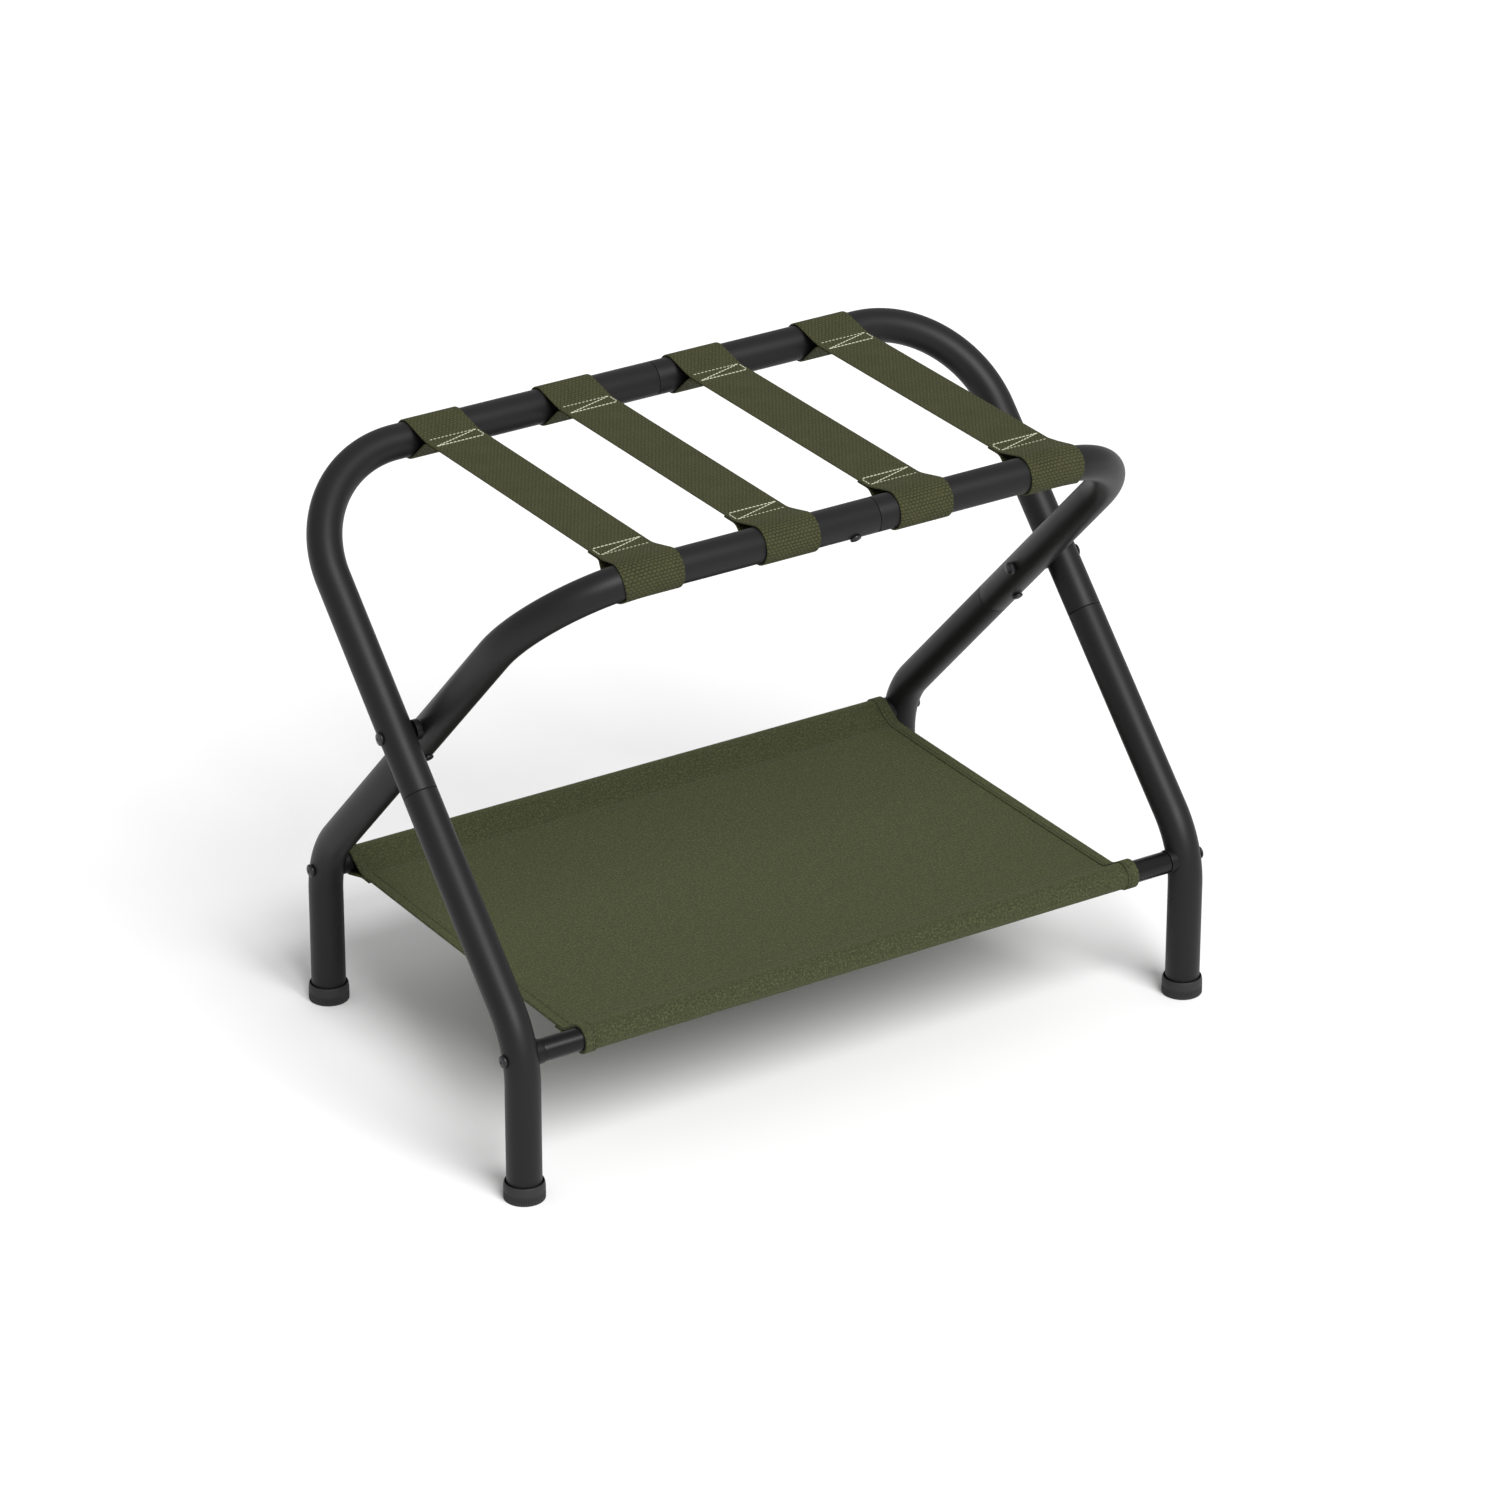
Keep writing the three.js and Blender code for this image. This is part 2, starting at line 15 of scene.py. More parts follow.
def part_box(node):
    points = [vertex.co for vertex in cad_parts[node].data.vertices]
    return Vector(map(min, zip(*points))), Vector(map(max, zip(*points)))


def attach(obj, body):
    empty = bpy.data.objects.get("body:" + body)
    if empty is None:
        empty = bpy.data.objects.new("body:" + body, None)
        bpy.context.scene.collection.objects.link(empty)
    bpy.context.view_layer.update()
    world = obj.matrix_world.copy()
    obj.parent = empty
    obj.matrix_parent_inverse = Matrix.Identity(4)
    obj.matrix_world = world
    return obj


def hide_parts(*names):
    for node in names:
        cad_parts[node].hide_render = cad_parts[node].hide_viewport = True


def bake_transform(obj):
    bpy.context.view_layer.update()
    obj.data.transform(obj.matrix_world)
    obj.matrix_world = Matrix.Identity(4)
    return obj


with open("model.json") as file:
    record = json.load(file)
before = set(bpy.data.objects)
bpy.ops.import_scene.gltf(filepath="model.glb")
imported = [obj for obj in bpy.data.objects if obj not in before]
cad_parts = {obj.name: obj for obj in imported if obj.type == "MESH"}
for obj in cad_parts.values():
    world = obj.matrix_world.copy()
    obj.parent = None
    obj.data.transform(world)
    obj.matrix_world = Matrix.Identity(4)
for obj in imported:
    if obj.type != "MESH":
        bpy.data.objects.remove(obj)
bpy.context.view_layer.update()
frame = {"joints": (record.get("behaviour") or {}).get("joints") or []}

# ---------------------------------------------------------------- sizes

TUBE_WALL = 0.0012
CORNER_RADIUS = 0.098
KNEE_RADIUS = 0.085
TOP_SEAM = 0.020
SIDE_SEAM = {"outer": 0.052, "inner": 0.065}
SPIGOT_LENGTH = 0.040
SHOULDER = 0.004
TOP_SCREW_INSET = 0.022
SIDE_SCREW_INSET = 0.032
JOINT_GAP = 0.0003

BAR_WALL = 0.0012
CAP_LIP = 0.0007
CAP_LENGTH = 0.0035
CAP_PLUG = 0.020
CAP_EDGE = 0.0004
BAR_SCREW_BITE = 0.014

SCREW_HEAD = (0.0055, 0.0030)  # radius and height
SCREW_SHANK = 0.0030
SCREW_TIP = (0.8, 0.3)  # the tip's radius and its taper's length, in shank radii
HEAD_SIDE = 0.45  # share of a head's height below its dome
HEAD_EDGE = 0.0003
RECESS_REACH = 0.5  # of the cutter's top, as a share of the head's radius
RECESS_DEPTH = 0.55  # share of the head's height
RECESS_ARM = 0.2  # half an arm's width, as a share of the reach
RECESS_TAPER = 0.5  # the cutter's width at its floor, as a share of that at its top
JOINT_SCREW_HEAD = (0.0047, 0.0026)
JOINT_SCREW_SHANK = 0.0025
JOINT_SCREW_LENGTH = 0.009
PIVOT_HEAD = (0.0055, 0.0022)
PIVOT_SHANK = 0.0030
PIVOT_NUT_LENGTH = 0.005
PIVOT_NUT_DOME = 0.45  # share of the nut's length
PIVOT_EDGE = 0.0005
SPACER_RADIUS = 0.0085

FOOT_FLOOR = 0.004
FOOT_BAND = 0.0086
FOOT_EDGE = 0.0008
FOOT_SOLE_RING = 0.6  # a ring of vertices in the flat sole, as a share of the foot's radius
FOOT_SOLE_EDGE = 0.0012  # the sole's outermost ring, from the foot's side
FOOT_RIM = 0.001
FOOT_GROOVE = 0.0028
FOOT_RIBS = 60
FOOT_RIB_DEPTH = 0.0006
FOOT_RIB_FADE = 6  # the ribs fade out over one part in 6 of the band at each end
FOOT_BAND_STEPS = 10

STRAP_COUNT = 4
STRAP_WIDTH = 0.050
STRAP_THICKNESS = 0.0016
STRAP_NOSE = 0.031  # from the bar's centre to where the loop closes
STRAP_LAP = 0.016
STRAP_EASE = 0.010  # how softly the flat stretch turns into the loop
STRAP_STITCH_NEAR = 0.0005  # from the nose to the first line across the lap
STRAP_STITCH_FAR = 0.0018  # from the lap's end to the last line across it
STRAP_STITCH_INSET = 0.0025  # from the strap's edges

SHELF_THICKNESS = 0.0012
SHELF_NOSE = 0.024
SHELF_LAP = 0.012
SHELF_HEM = 0.010
SHELF_HEM_RISE = 0.0012
SHELF_HEM_CREASE = 0.0008  # the width of the step up to the hem, and of its stitched groove
SHELF_HEM_STITCH = 0.0018  # from the fold's edge to its line of stitches
SHELF_HEM_GROOVE = 0.0009  # how far the stitches pull the cloth in
SHELF_SEAMS = (0.3, 0.75)  # where the seams that close a sleeve lie, as shares of the lap
SHELF_SAG = 0.0024
SHELF_SIDE_HOLD = 0.8  # share of the sag that the hemmed sides take out
SHELF_RIPPLE = 0.00035
SHELF_WAVES = ((1.0, 23, 9, 0.6), (0.7, 11, -31, 0))  # size, radians a metre in X and Y, phase
SHELF_EASE = 0.008

LOOP_GAP = 0.0004  # between a loop and its bar
LAYER_GAP = 0.0001  # between two layers of cloth
EASE_ON_FLAT = 0.4  # the part of a loop's ease that is on the flat stretch
LAP_TURN = 0.004  # how softly the returning cloth turns into its lap
STITCH_LENGTH = 0.0033
STITCH_PITCH = 0.0036
STITCH_RADIUS = 0.00048
STITCH_SINK = 0.7  # how deep a stitch's ends lie, in thread radii
# A stitch's thickness along it, each step a share of its length and of the thread's radius.
STITCH_SWELL = ((0, 0.1), (0.08, 0.7), (0.3, 1.0), (0.7, 1.0), (0.92, 0.7), (1, 0.1))

TUBE_SIDES = 64
SMALL_SIDES = 48
STITCH_SIDES = 8
SIDES_PER_RIB = 6
BEND_STEPS = 36
LIP_STEPS = 8
EDGE_STEPS = 3
LOOP_STEPS = 48
RIM_STEPS = 6
SEAM_STEPS = 60
STRAP_STEPS = {"flat": 40, "across": 16}
SHELF_STEPS = {"flat": 48, "across": 60}
DOME_END = 88  # degrees, so that a dome ends in a small flat and not in a point
RIM_TURN = 80  # degrees that a cloth's rim turns up and down from level

# ---------------------------------------------------------------- places, from the frame

X = Vector((1, 0, 0))
Y = Vector((0, 1, 0))
Z = Vector((0, 0, 1))
SIDES = {"left": -1, "right": 1}


def joint_place(name):
    """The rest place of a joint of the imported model."""
    joint = next(joint for joint in frame["joints"] if joint["name"] == name)
    return Vector(joint["pos_m"])


def middle(node):
    low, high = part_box(node)
    return (Vector(low) + Vector(high)) / 2


def size(node):
    low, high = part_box(node)
    return Vector(high) - Vector(low)


pivot = joint_place("fold")
rear_top_bar = joint_place("strap_rear_swing")
front_shelf_bar = joint_place("shelf_front_swing")
strap_top = joint_place("strap_middle_fold").z
shelf_bottom = joint_place("shelf_middle_fold").z

half_width = {"outer": middle("foot_front_right").x, "inner": middle("foot_rear_right").x}
foot_reach = middle("foot_rear_right").y
foot_radius = size("foot_front_right").x / 2
foot_height = size("foot_front_right").z
tube_radius = Vector(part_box("outer_upper_right")[1]).x - half_width["outer"]
bar_radius = size("shelf_bar_front").z / 2
shelf_width = size("shelf_front_half").x
slope_length = (rear_top_bar - pivot).length
lean = math.atan2(rear_top_bar.y, rear_top_bar.z - pivot.z)
knee_height = pivot.z - foot_reach / math.tan(lean)
bend_end_height = knee_height - KNEE_RADIUS * math.tan(lean / 2)

FRAMES = {
    "outer": {"facing": 1, "end": "front", "body": "outer_frame"},
    "inner": {"facing": -1, "end": "rear", "body": "inner_frame"},
}

# ---------------------------------------------------------------- materials


class Shader:
    """A material's node tree, with a short call for each kind of node."""

    def __init__(self, name):
        self.material = bpy.data.materials.new(name)
        self.material.use_nodes = True
        self.nodes = self.material.node_tree.nodes
        self.links = self.material.node_tree.links
        self.surface = self.nodes["Principled BSDF"]

    def put(self, socket, value):
        if isinstance(value, bpy.types.NodeSocket):
            self.links.new(value, socket)
        else:
            socket.default_value = value

    def set(self, **inputs):
        """Principled inputs by name, with _ for a space."""
        for name, value in inputs.items():
            self.put(self.surface.inputs[name.replace("_", " ")], value)

    def place(self):
        return self.nodes.new("ShaderNodeTexCoord").outputs["Object"]

    def uv(self):
        """The cloth's own directions, in metres: across and along."""
        node = self.nodes.new("ShaderNodeSeparateXYZ")
        self.put(node.inputs[0], self.nodes.new("ShaderNodeTexCoord").outputs["UV"])
        return node.outputs["X"], node.outputs["Y"]

    def math(self, operation, a, b=0.0):
        node = self.nodes.new("ShaderNodeMath")
        node.operation = operation
        self.put(node.inputs[0], a)
        self.put(node.inputs[1], b)
        return node.outputs[0]

    def combine(self, x, y, z=0.0):
        node = self.nodes.new("ShaderNodeCombineXYZ")
        for socket, value in zip(node.inputs, (x, y, z)):
            self.put(socket, value)
        return node.outputs[0]

    def noise(self, vector, scale, detail=2.0, roughness=0.5):
        node = self.nodes.new("ShaderNodeTexNoise")
        self.put(node.inputs["Vector"], vector)
        self.put(node.inputs["Scale"], scale)
        self.put(node.inputs["Detail"], detail)
        self.put(node.inputs["Roughness"], roughness)
        return node.outputs["Fac"]

    def remap(self, value, low, high, to_low, to_high):
        node = self.nodes.new("ShaderNodeMapRange")
        for socket, number in zip(node.inputs, (value, low, high, to_low, to_high)):
            self.put(socket, number)
        return node.outputs[0]

    def mix(self, factor, first, second):
        """A blend of two colours. Sockets 6 and 7, and output 2, are a Mix node's colour ones."""
        node = self.nodes.new("ShaderNodeMix")
        node.data_type = "RGBA"
        self.put(node.inputs["Factor"], factor)
        self.put(node.inputs[6], first)
        self.put(node.inputs[7], second)
        return node.outputs[2]

    def bump(self, height, strength, distance):
        node = self.nodes.new("ShaderNodeBump")
        self.put(node.inputs["Strength"], strength)
        self.put(node.inputs["Distance"], distance)
        self.put(node.inputs["Height"], height)
        return node.outputs[0]

    def ripple(self, distance, pitch):
        """0 at each multiple of the pitch and 1 half way between them."""
        turns = self.math("MULTIPLY", distance, math.pi / pitch)
        return self.math("ABSOLUTE", self.math("SINE", turns))


def shade(color, share):
    """A colour made darker or lighter, with the alpha that a socket wants."""
    return (*(part * share for part in color), 1.0)


def powder_coat(name, color, roughness, grain):
    """Paint with the fine orange peel of powder coating, a little uneven in gloss."""
    shader = Shader(name)
    place = shader.place()
    peel = shader.noise(place, grain, 3.0, 0.55)
    cloud = shader.noise(place, 14.0, 3.0)
    speck = shader.noise(place, grain * 2.2, 1.0)
    tint = shader.mix(shader.remap(cloud, 0.3, 0.7, 0.0, 1.0), shade(color, 0.92), shade(color, 1.06))
    tint = shader.mix(shader.remap(speck, 0.66, 0.74, 0.0, 0.5), tint, shade(color, 1.7))
    gloss = shader.remap(shader.math("ADD", peel, cloud), 0.6, 1.4, roughness - 0.05, roughness + 0.05)
    shader.set(
        Base_Color=tint,
        Roughness=gloss,
        Specular_IOR_Level=0.2,
        Normal=shader.bump(peel, 0.25, 0.00012),
    )
    return shader.material


def moulded_plastic(name, color, roughness):
    """Plastic with a fine spark-eroded grain and a slight scuffing."""
    shader = Shader(name)
    place = shader.place()
    grain = shader.noise(place, 2600.0, 2.0)
    scuff = shader.noise(place, 90.0, 5.0, 0.7)
    wear = shader.remap(scuff, 0.55, 0.75, 0.0, 0.35)
    shader.set(
        Base_Color=shader.mix(wear, shade(color, 1.0), shade(color, 1.35)),
        Roughness=shader.remap(grain, 0.3, 0.7, roughness - 0.06, roughness + 0.06),
        Specular_IOR_Level=0.2,
        Normal=shader.bump(grain, 0.35, 0.00008),
    )
    return shader.material


def black_steel(name, color):
    """Blackened steel, rubbed brighter where a driver or a hand has been."""
    shader = Shader(name)
    place = shader.place()
    rub = shader.noise(place, 420.0, 4.0, 0.6)
    bright = shader.remap(rub, 0.5, 0.75, 0.0, 0.5)
    shader.set(
        Base_Color=shader.mix(bright, shade(color, 1.0), shade(color, 2.0)),
        Metallic=0.75,
        Roughness=shader.remap(rub, 0.3, 0.7, 0.44, 0.30),
        Normal=shader.bump(rub, 0.15, 0.00005),
    )
    return shader.material


SHEEN_BRIGHTNESS = 6.0  # a cloth's sheen against its colour


def webbing(name, color):
    """Woven strap: staggered pillows of yarn on a fine crosswise thread, with painted shade in the gaps
    between pillows and painted light on their crowns.
    """
    shader = Shader(name)
    across, along = shader.uv()
    pitch_across = 0.0034
    pitch_along = 0.0027
    yarn_pitch = 0.00055
    drift = 0.0004
    cloth = shader.combine(across, along)
    wander = shader.remap(shader.noise(cloth, 260.0, 2.0), 0.3, 0.7, -drift, drift)
    row = shader.math("FLOOR", shader.math("DIVIDE", along, pitch_along))
    stagger = shader.math("MULTIPLY", shader.math("MODULO", row, 2.0), pitch_across / 2)
    stagger = shader.math("ADD", stagger, wander)
    pillow = shader.math(
        "MULTIPLY",
        shader.ripple(shader.math("ADD", across, stagger), pitch_across),
        shader.ripple(shader.math("ADD", along, wander), pitch_along),
    )
    rise = shader.remap(pillow, 0.0, 0.5, 0.0, 1.0)
    yarn = shader.ripple(across, yarn_pitch)
    fuzz = shader.noise(cloth, 900.0, 3.0, 0.6)
    patch = shader.noise(cloth, 45.0, 4.0, 0.6)
    fleck = shader.noise(cloth, 1300.0, 1.0)
    height = shader.math("ADD", rise, shader.math("MULTIPLY", yarn, 0.12))
    height = shader.math("ADD", height, shader.math("MULTIPLY", fuzz, 0.25))
    # Painted shade and light: the yarn is darkened in the gaps between pillows and lightened on their
    # crowns, following the rise that shapes the bump.
    tint = shader.mix(rise, shade(color, 0.22), shade(color, 1.35))
    tint = shader.mix(shader.remap(fuzz, 0.35, 0.65, 0.0, 0.45), tint, shade(color, 0.62))
    tint = shader.mix(shader.remap(patch, 0.35, 0.65, 0.0, 0.22), tint, shade(color, 1.6))
    tint = shader.mix(shader.remap(fleck, 0.66, 0.72, 0.0, 0.5), tint, shade(color, 3.0))
    shader.set(
        Base_Color=tint,
        Roughness=0.86,
        Specular_IOR_Level=0.25,
        Sheen_Weight=0.12,
        Sheen_Roughness=0.5,
        Sheen_Tint=shade(color, SHEEN_BRIGHTNESS),
        Normal=shader.bump(height, 0.9, 0.0006),
    )
    return shader.material


def canvas(name, color):
    """Plain-woven cloth: over and under threads with painted shade where they dip, slubs along both and
    a soft unevenness.
    """
    shader = Shader(name)
    across, along = shader.uv()
    pitch = 0.0009
    weave = shader.math("MULTIPLY", shader.ripple(across, pitch), shader.ripple(along, pitch))
    stretch = 0.12
    slub_scale = 800.0
    cloth = shader.combine(across, along)
    weft = shader.combine(shader.math("MULTIPLY", across, stretch), along)
    warp = shader.combine(across, shader.math("MULTIPLY", along, stretch))
    slub = shader.math("ADD", shader.noise(weft, slub_scale), shader.noise(warp, slub_scale))
    grain = shader.noise(cloth, 560.0, 4.0, 0.7)
    cloud = shader.noise(cloth, 9.0)
    # Painted shade: the weave darkens the cloth where its threads dip between crossings and lightens it
    # on them, following the weave's bump.
    tint = shader.mix(shader.remap(weave, 0.1, 0.8, 0.0, 1.0), shade(color, 0.72), shade(color, 1.08))
    tint = shader.mix(shader.remap(slub, 0.85, 1.15, 0.0, 0.7), tint, shade(color, 1.4))
    tint = shader.mix(shader.remap(grain, 0.42, 0.58, 0.8, 0.0), tint, shade(color, 0.45))
    tint = shader.mix(shader.remap(grain, 0.56, 0.68, 0.0, 0.7), tint, shade(color, 1.9))
    tint = shader.mix(shader.remap(cloud, 0.35, 0.65, 0.12, 0.0), tint, shade(color, 0.7))
    height = shader.math("ADD", weave, shader.math("MULTIPLY", slub, 0.4))
    shader.set(
        Base_Color=tint,
        Roughness=0.9,
        Specular_IOR_Level=0.2,
        Sheen_Weight=0.22,
        Sheen_Roughness=0.45,
        Sheen_Tint=shade(color, SHEEN_BRIGHTNESS),
        Normal=shader.bump(height, 0.8, 0.0003),
    )
    return shader.material


def thread(name, color):
    """Sewing thread, with its twist as fine bands."""
    shader = Shader(name)
    twist = shader.noise(shader.place(), 3000.0, 2.0)
    shader.set(
        Base_Color=shader.mix(twist, shade(color, 0.75), shade(color, 1.15)),
        Roughness=0.7,
        Normal=shader.bump(twist, 0.4, 0.0001),
    )
    return shader.material


PAINT_COLOR = (0.0090, 0.0090, 0.0092)
BAR_COLOR = (0.006, 0.006, 0.0062)
FOOT_COLOR = (0.024, 0.024, 0.024)
CAP_COLOR = (0.005, 0.005, 0.0055)
STEEL_COLOR = (0.030, 0.030, 0.032)
WEBBING_COLOR = (0.037, 0.039, 0.0142)
CANVAS_COLOR = (0.050, 0.056, 0.0242)
STRAP_THREAD_COLOR = (0.50, 0.51, 0.38)
SHELF_THREAD_COLOR = (0.045, 0.052, 0.024)

MATERIALS = {
    "tube_paint": powder_coat("tube_paint", PAINT_COLOR, 0.46, 900.0),
    "shelf_bar_paint": powder_coat("shelf_bar_paint", BAR_COLOR, 0.30, 500.0),
    "foot_plastic": moulded_plastic("foot_plastic", FOOT_COLOR, 0.55),
    "cap_plastic": moulded_plastic("cap_plastic", CAP_COLOR, 0.42),
    "black_fastener": black_steel("black_fastener", STEEL_COLOR),
    "strap_webbing": webbing("strap_webbing", WEBBING_COLOR),
    "shelf_canvas": canvas("shelf_canvas", CANVAS_COLOR),
}
STRAP_THREAD = thread("strap_thread", STRAP_THREAD_COLOR)
SHELF_THREAD = thread("shelf_thread", SHELF_THREAD_COLOR)

# ---------------------------------------------------------------- mesh helpers

SHARP_ANGLE = math.radians(38)
MERGE_DISTANCE = 1e-7


def finish_mesh(name, mesh_data, material):
    """Turns a bmesh into an object that is smooth but for its sharp edges."""
    bmesh.ops.remove_doubles(mesh_data, verts=mesh_data.verts, dist=MERGE_DISTANCE)
    bmesh.ops.recalc_face_normals(mesh_data, faces=mesh_data.faces)
    for face in mesh_data.faces:
        face.smooth = True
    for edge in mesh_data.edges:
        edge.smooth = len(edge.link_faces) == 2 and edge.calc_face_angle() < SHARP_ANGLE
    mesh = bpy.data.meshes.new(name)
    mesh_data.to_mesh(mesh)
    mesh_data.free()
    mesh.materials.append(material)
    piece = bpy.data.objects.new(name, mesh)
    bpy.context.scene.collection.objects.link(piece)
    return piece


def join_rings(mesh_data, rings, loop=False):
    """Faces between neighbouring rings of vertices, and back to the first ring for a loop."""
    pairs = list(zip(rings, rings[1:]))
    if loop:
        pairs.append((rings[-1], rings[0]))
    for one, other in pairs:
        for i in range(len(one)):
            j = (i + 1) % len(one)
            mesh_data.faces.new((one[i], one[j], other[j], other[i]))


def ring(mesh_data, centre, tangent, normal, radius, sides):
    """Vertices of a circle round a centre, square to the tangent."""
    second = tangent.cross(normal)
    vertices = []
    for i in range(sides):
        angle = 2 * math.pi * i / sides
        offset = normal * math.cos(angle) + second * math.sin(angle)
        vertices.append(mesh_data.verts.new(centre + offset * radius))
    return vertices


def sweep(name, stations, normal, material):
    """A surface through circles, each a (centre, tangent, radius), that closes on itself."""
    mesh_data = bmesh.new()
    rings = []
    for centre, tangent, radius in stations:
        rings.append(ring(mesh_data, centre, tangent, normal, radius, TUBE_SIDES))
    join_rings(mesh_data, rings, loop=True)
    return finish_mesh(name, mesh_data, material)


def turned(name, profile, place, direction, material, sides=SMALL_SIDES, shape=None):
    """A turned piece. Its profile, of (radius, height), ends on the axis or closes on itself.

    Shape takes a vertex's place about the upright axis and gives its new one.
    """
    mesh_data = bmesh.new()
    closed = profile[0][0] > 0
    rings = []
    for radius, height in profile:
        rings.append(ring(mesh_data, Z * height, Z, X, radius, sides))
    if shape:
        for vertex in mesh_data.verts:
            vertex.co = shape(vertex.co)
    join_rings(mesh_data, rings, loop=closed)
    turn = Z.rotation_difference(direction).to_matrix().to_4x4()
    bmesh.ops.transform(mesh_data, matrix=Matrix.Translation(place) @ turn, verts=mesh_data.verts)
    return finish_mesh(name, mesh_data, material)


def quarter_round(centre, radii, start, end, steps=LIP_STEPS):
    """Profile points on an ellipse's arc, from one angle to another in degrees."""
    points = []
    for i in range(steps + 1):
        angle = math.radians(start + (end - start) * i / steps)
        points.append((centre[0] + radii[0] * math.cos(angle), centre[1] + radii[1] * math.sin(angle)))
    return points


def carve(piece, cutter):
    """Cuts one piece out of another, and removes the cutter."""
    boolean = piece.modifiers.new("carve", "BOOLEAN")
    boolean.operation = "DIFFERENCE"
    boolean.object = cutter
    bpy.context.view_layer.update()
    carved = bpy.data.meshes.new_from_object(piece.evaluated_get(bpy.context.evaluated_depsgraph_get()))
    piece.modifiers.clear()
    piece.data = carved
    bpy.data.objects.remove(cutter)


def settle(piece, slot, body, *nodes):
    """Hands a rigid piece to its body and hides the CAD nodes it stands for. The slot, its finish, is
    not used.
    """
    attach(piece, body)
    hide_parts(*nodes)


# ---------------------------------------------------------------- tubes


def bent_path(start, corner, end, radius):
    """(point, tangent) stations from start to end, round one bend."""
    first = (corner - start).normalized()
    last = (end - corner).normalized()
    turn = first.angle(last)
    side = (last - first * last.dot(first)).normalized()
    bend_start = corner - first * radius * math.tan(turn / 2)
    centre = bend_start + side * radius
    stations = [(start, first)]
    for i in range(BEND_STEPS + 1):
        angle = turn * i / BEND_STEPS
        point = centre - side * radius * math.cos(angle) + first * radius * math.sin(angle)
        stations.append((point, first * math.cos(angle) + side * math.sin(angle)))
    stations.append((end, last))
    return stations


def tube_stations(path, radius, wall, male):
    """Circles along a tube's outside and back through its bore, with softly rounded ends.

    A male end steps in to a spigot, which plugs into the next tube.
    """
    start, first = path[0]
    end, last = path[-1]
    inside = radius - wall
    round_over = wall / 2
    lip = (round_over, round_over)
    lip_turn = 90 if male else 180
    stations = []
    for lip_radius, depth in quarter_round((radius - round_over, round_over), lip, 180, 360):
        stations.append((start + first * depth, first, lip_radius))
    stations += [(point, tangent, radius) for point, tangent in path[1:-1]]
    for lip_radius, depth in quarter_round((radius - round_over, -round_over), lip, 0, lip_turn):
        stations.append((end + last * depth, last, lip_radius))
    if male:
        spigot = inside - JOINT_GAP
        bore = spigot - wall
        tip = end + last * SPIGOT_LENGTH
        root = end - last * SHOULDER
        steps = ((end, spigot), (tip, spigot), (tip, bore), (root, bore), (root, inside))
        stations += [(point, last, step_radius) for point, step_radius in steps]
    stations += [(point, tangent, inside) for point, tangent in reversed(path[1:-1])]
    return stations


def on_slope(x, facing, distance):
    """A place on a frame's slope, at a distance up it from the pivot."""
    return pivot + X * x + slope_direction(facing) * distance


def slope_direction(facing):
    """Up a frame's slope."""
    return Vector((0, facing * math.sin(lean), math.cos(lean)))


def underside_direction(facing):
    """Square to a frame's slope, out of its underside."""
    return Vector((0, facing * math.cos(lean), -math.sin(lean)))


def upper_tubes(name, facing, body):
    """The two halves of a frame's U, meeting in the top bar right of its middle."""
    width = half_width[name]
    normal = slope_direction(facing).cross(X)
    for side, sign in SIDES.items():
        male = side == "right"
        seam = TOP_SEAM + (JOINT_GAP if male else 0)
        start = on_slope(sign * width, facing, -SIDE_SEAM[name])
        corner = on_slope(sign * width, facing, slope_length)
        end = on_slope(seam, facing, slope_length)
        path = bent_path(start, corner, end, CORNER_RADIUS)
        stations = tube_stations(path, tube_radius, TUBE_WALL, male)
        piece = sweep(f"{name}_frame_{side}", stations, normal, MATERIALS["tube_paint"])
        settle(piece, "tube_paint", body, f"{name}_upper_{side}")


def leg_path(x, facing, seam):
    """A leg's middle line, from its foot over the knee to the seam below the pivot."""
    start = Vector((x, -facing * foot_reach, FOOT_FLOOR + JOINT_GAP))
    corner = Vector((x, -facing * foot_reach, knee_height))
    return bent_path(start, corner, on_slope(x, facing, -seam - JOINT_GAP), KNEE_RADIUS)


def legs(name, facing, body):
    for side, sign in SIDES.items():
        path = leg_path(sign * half_width[name], facing, SIDE_SEAM[name])
        stations = tube_stations(path, tube_radius, TUBE_WALL, male=True)
        piece = sweep(f"{name}_lower_leg_{side}", stations, X, MATERIALS["tube_paint"])
        settle(piece, "tube_paint", body, f"{name}_leg_{side}")


def shelf_bar(name, facing, end, body):
    half_length = half_width[name] - tube_radius - CAP_LENGTH - JOINT_GAP
    centre = middle(f"shelf_bar_{end}")
    path = [(centre + X * half_length * share, X) for share in (-1, 0, 1)]
    stations = tube_stations(path, bar_radius, BAR_WALL, male=False)
    piece = sweep(f"cross_bar_{end}", stations, Y, MATERIALS["shelf_bar_paint"])
    settle(piece, "shelf_bar_paint", body, f"shelf_bar_{end}")


def saddle_depth(place, facing):
    """How far from a leg's middle plane its surface is, level with a place beside the knee."""
    bend_centre = Vector((-facing * (foot_reach - KNEE_RADIUS), bend_end_height))
    offset = (Vector((place.y, place.z)) - bend_centre).length - KNEE_RADIUS
    reach = tube_radius + JOINT_GAP
    return math.sqrt(max(reach**2 - offset**2, 0))


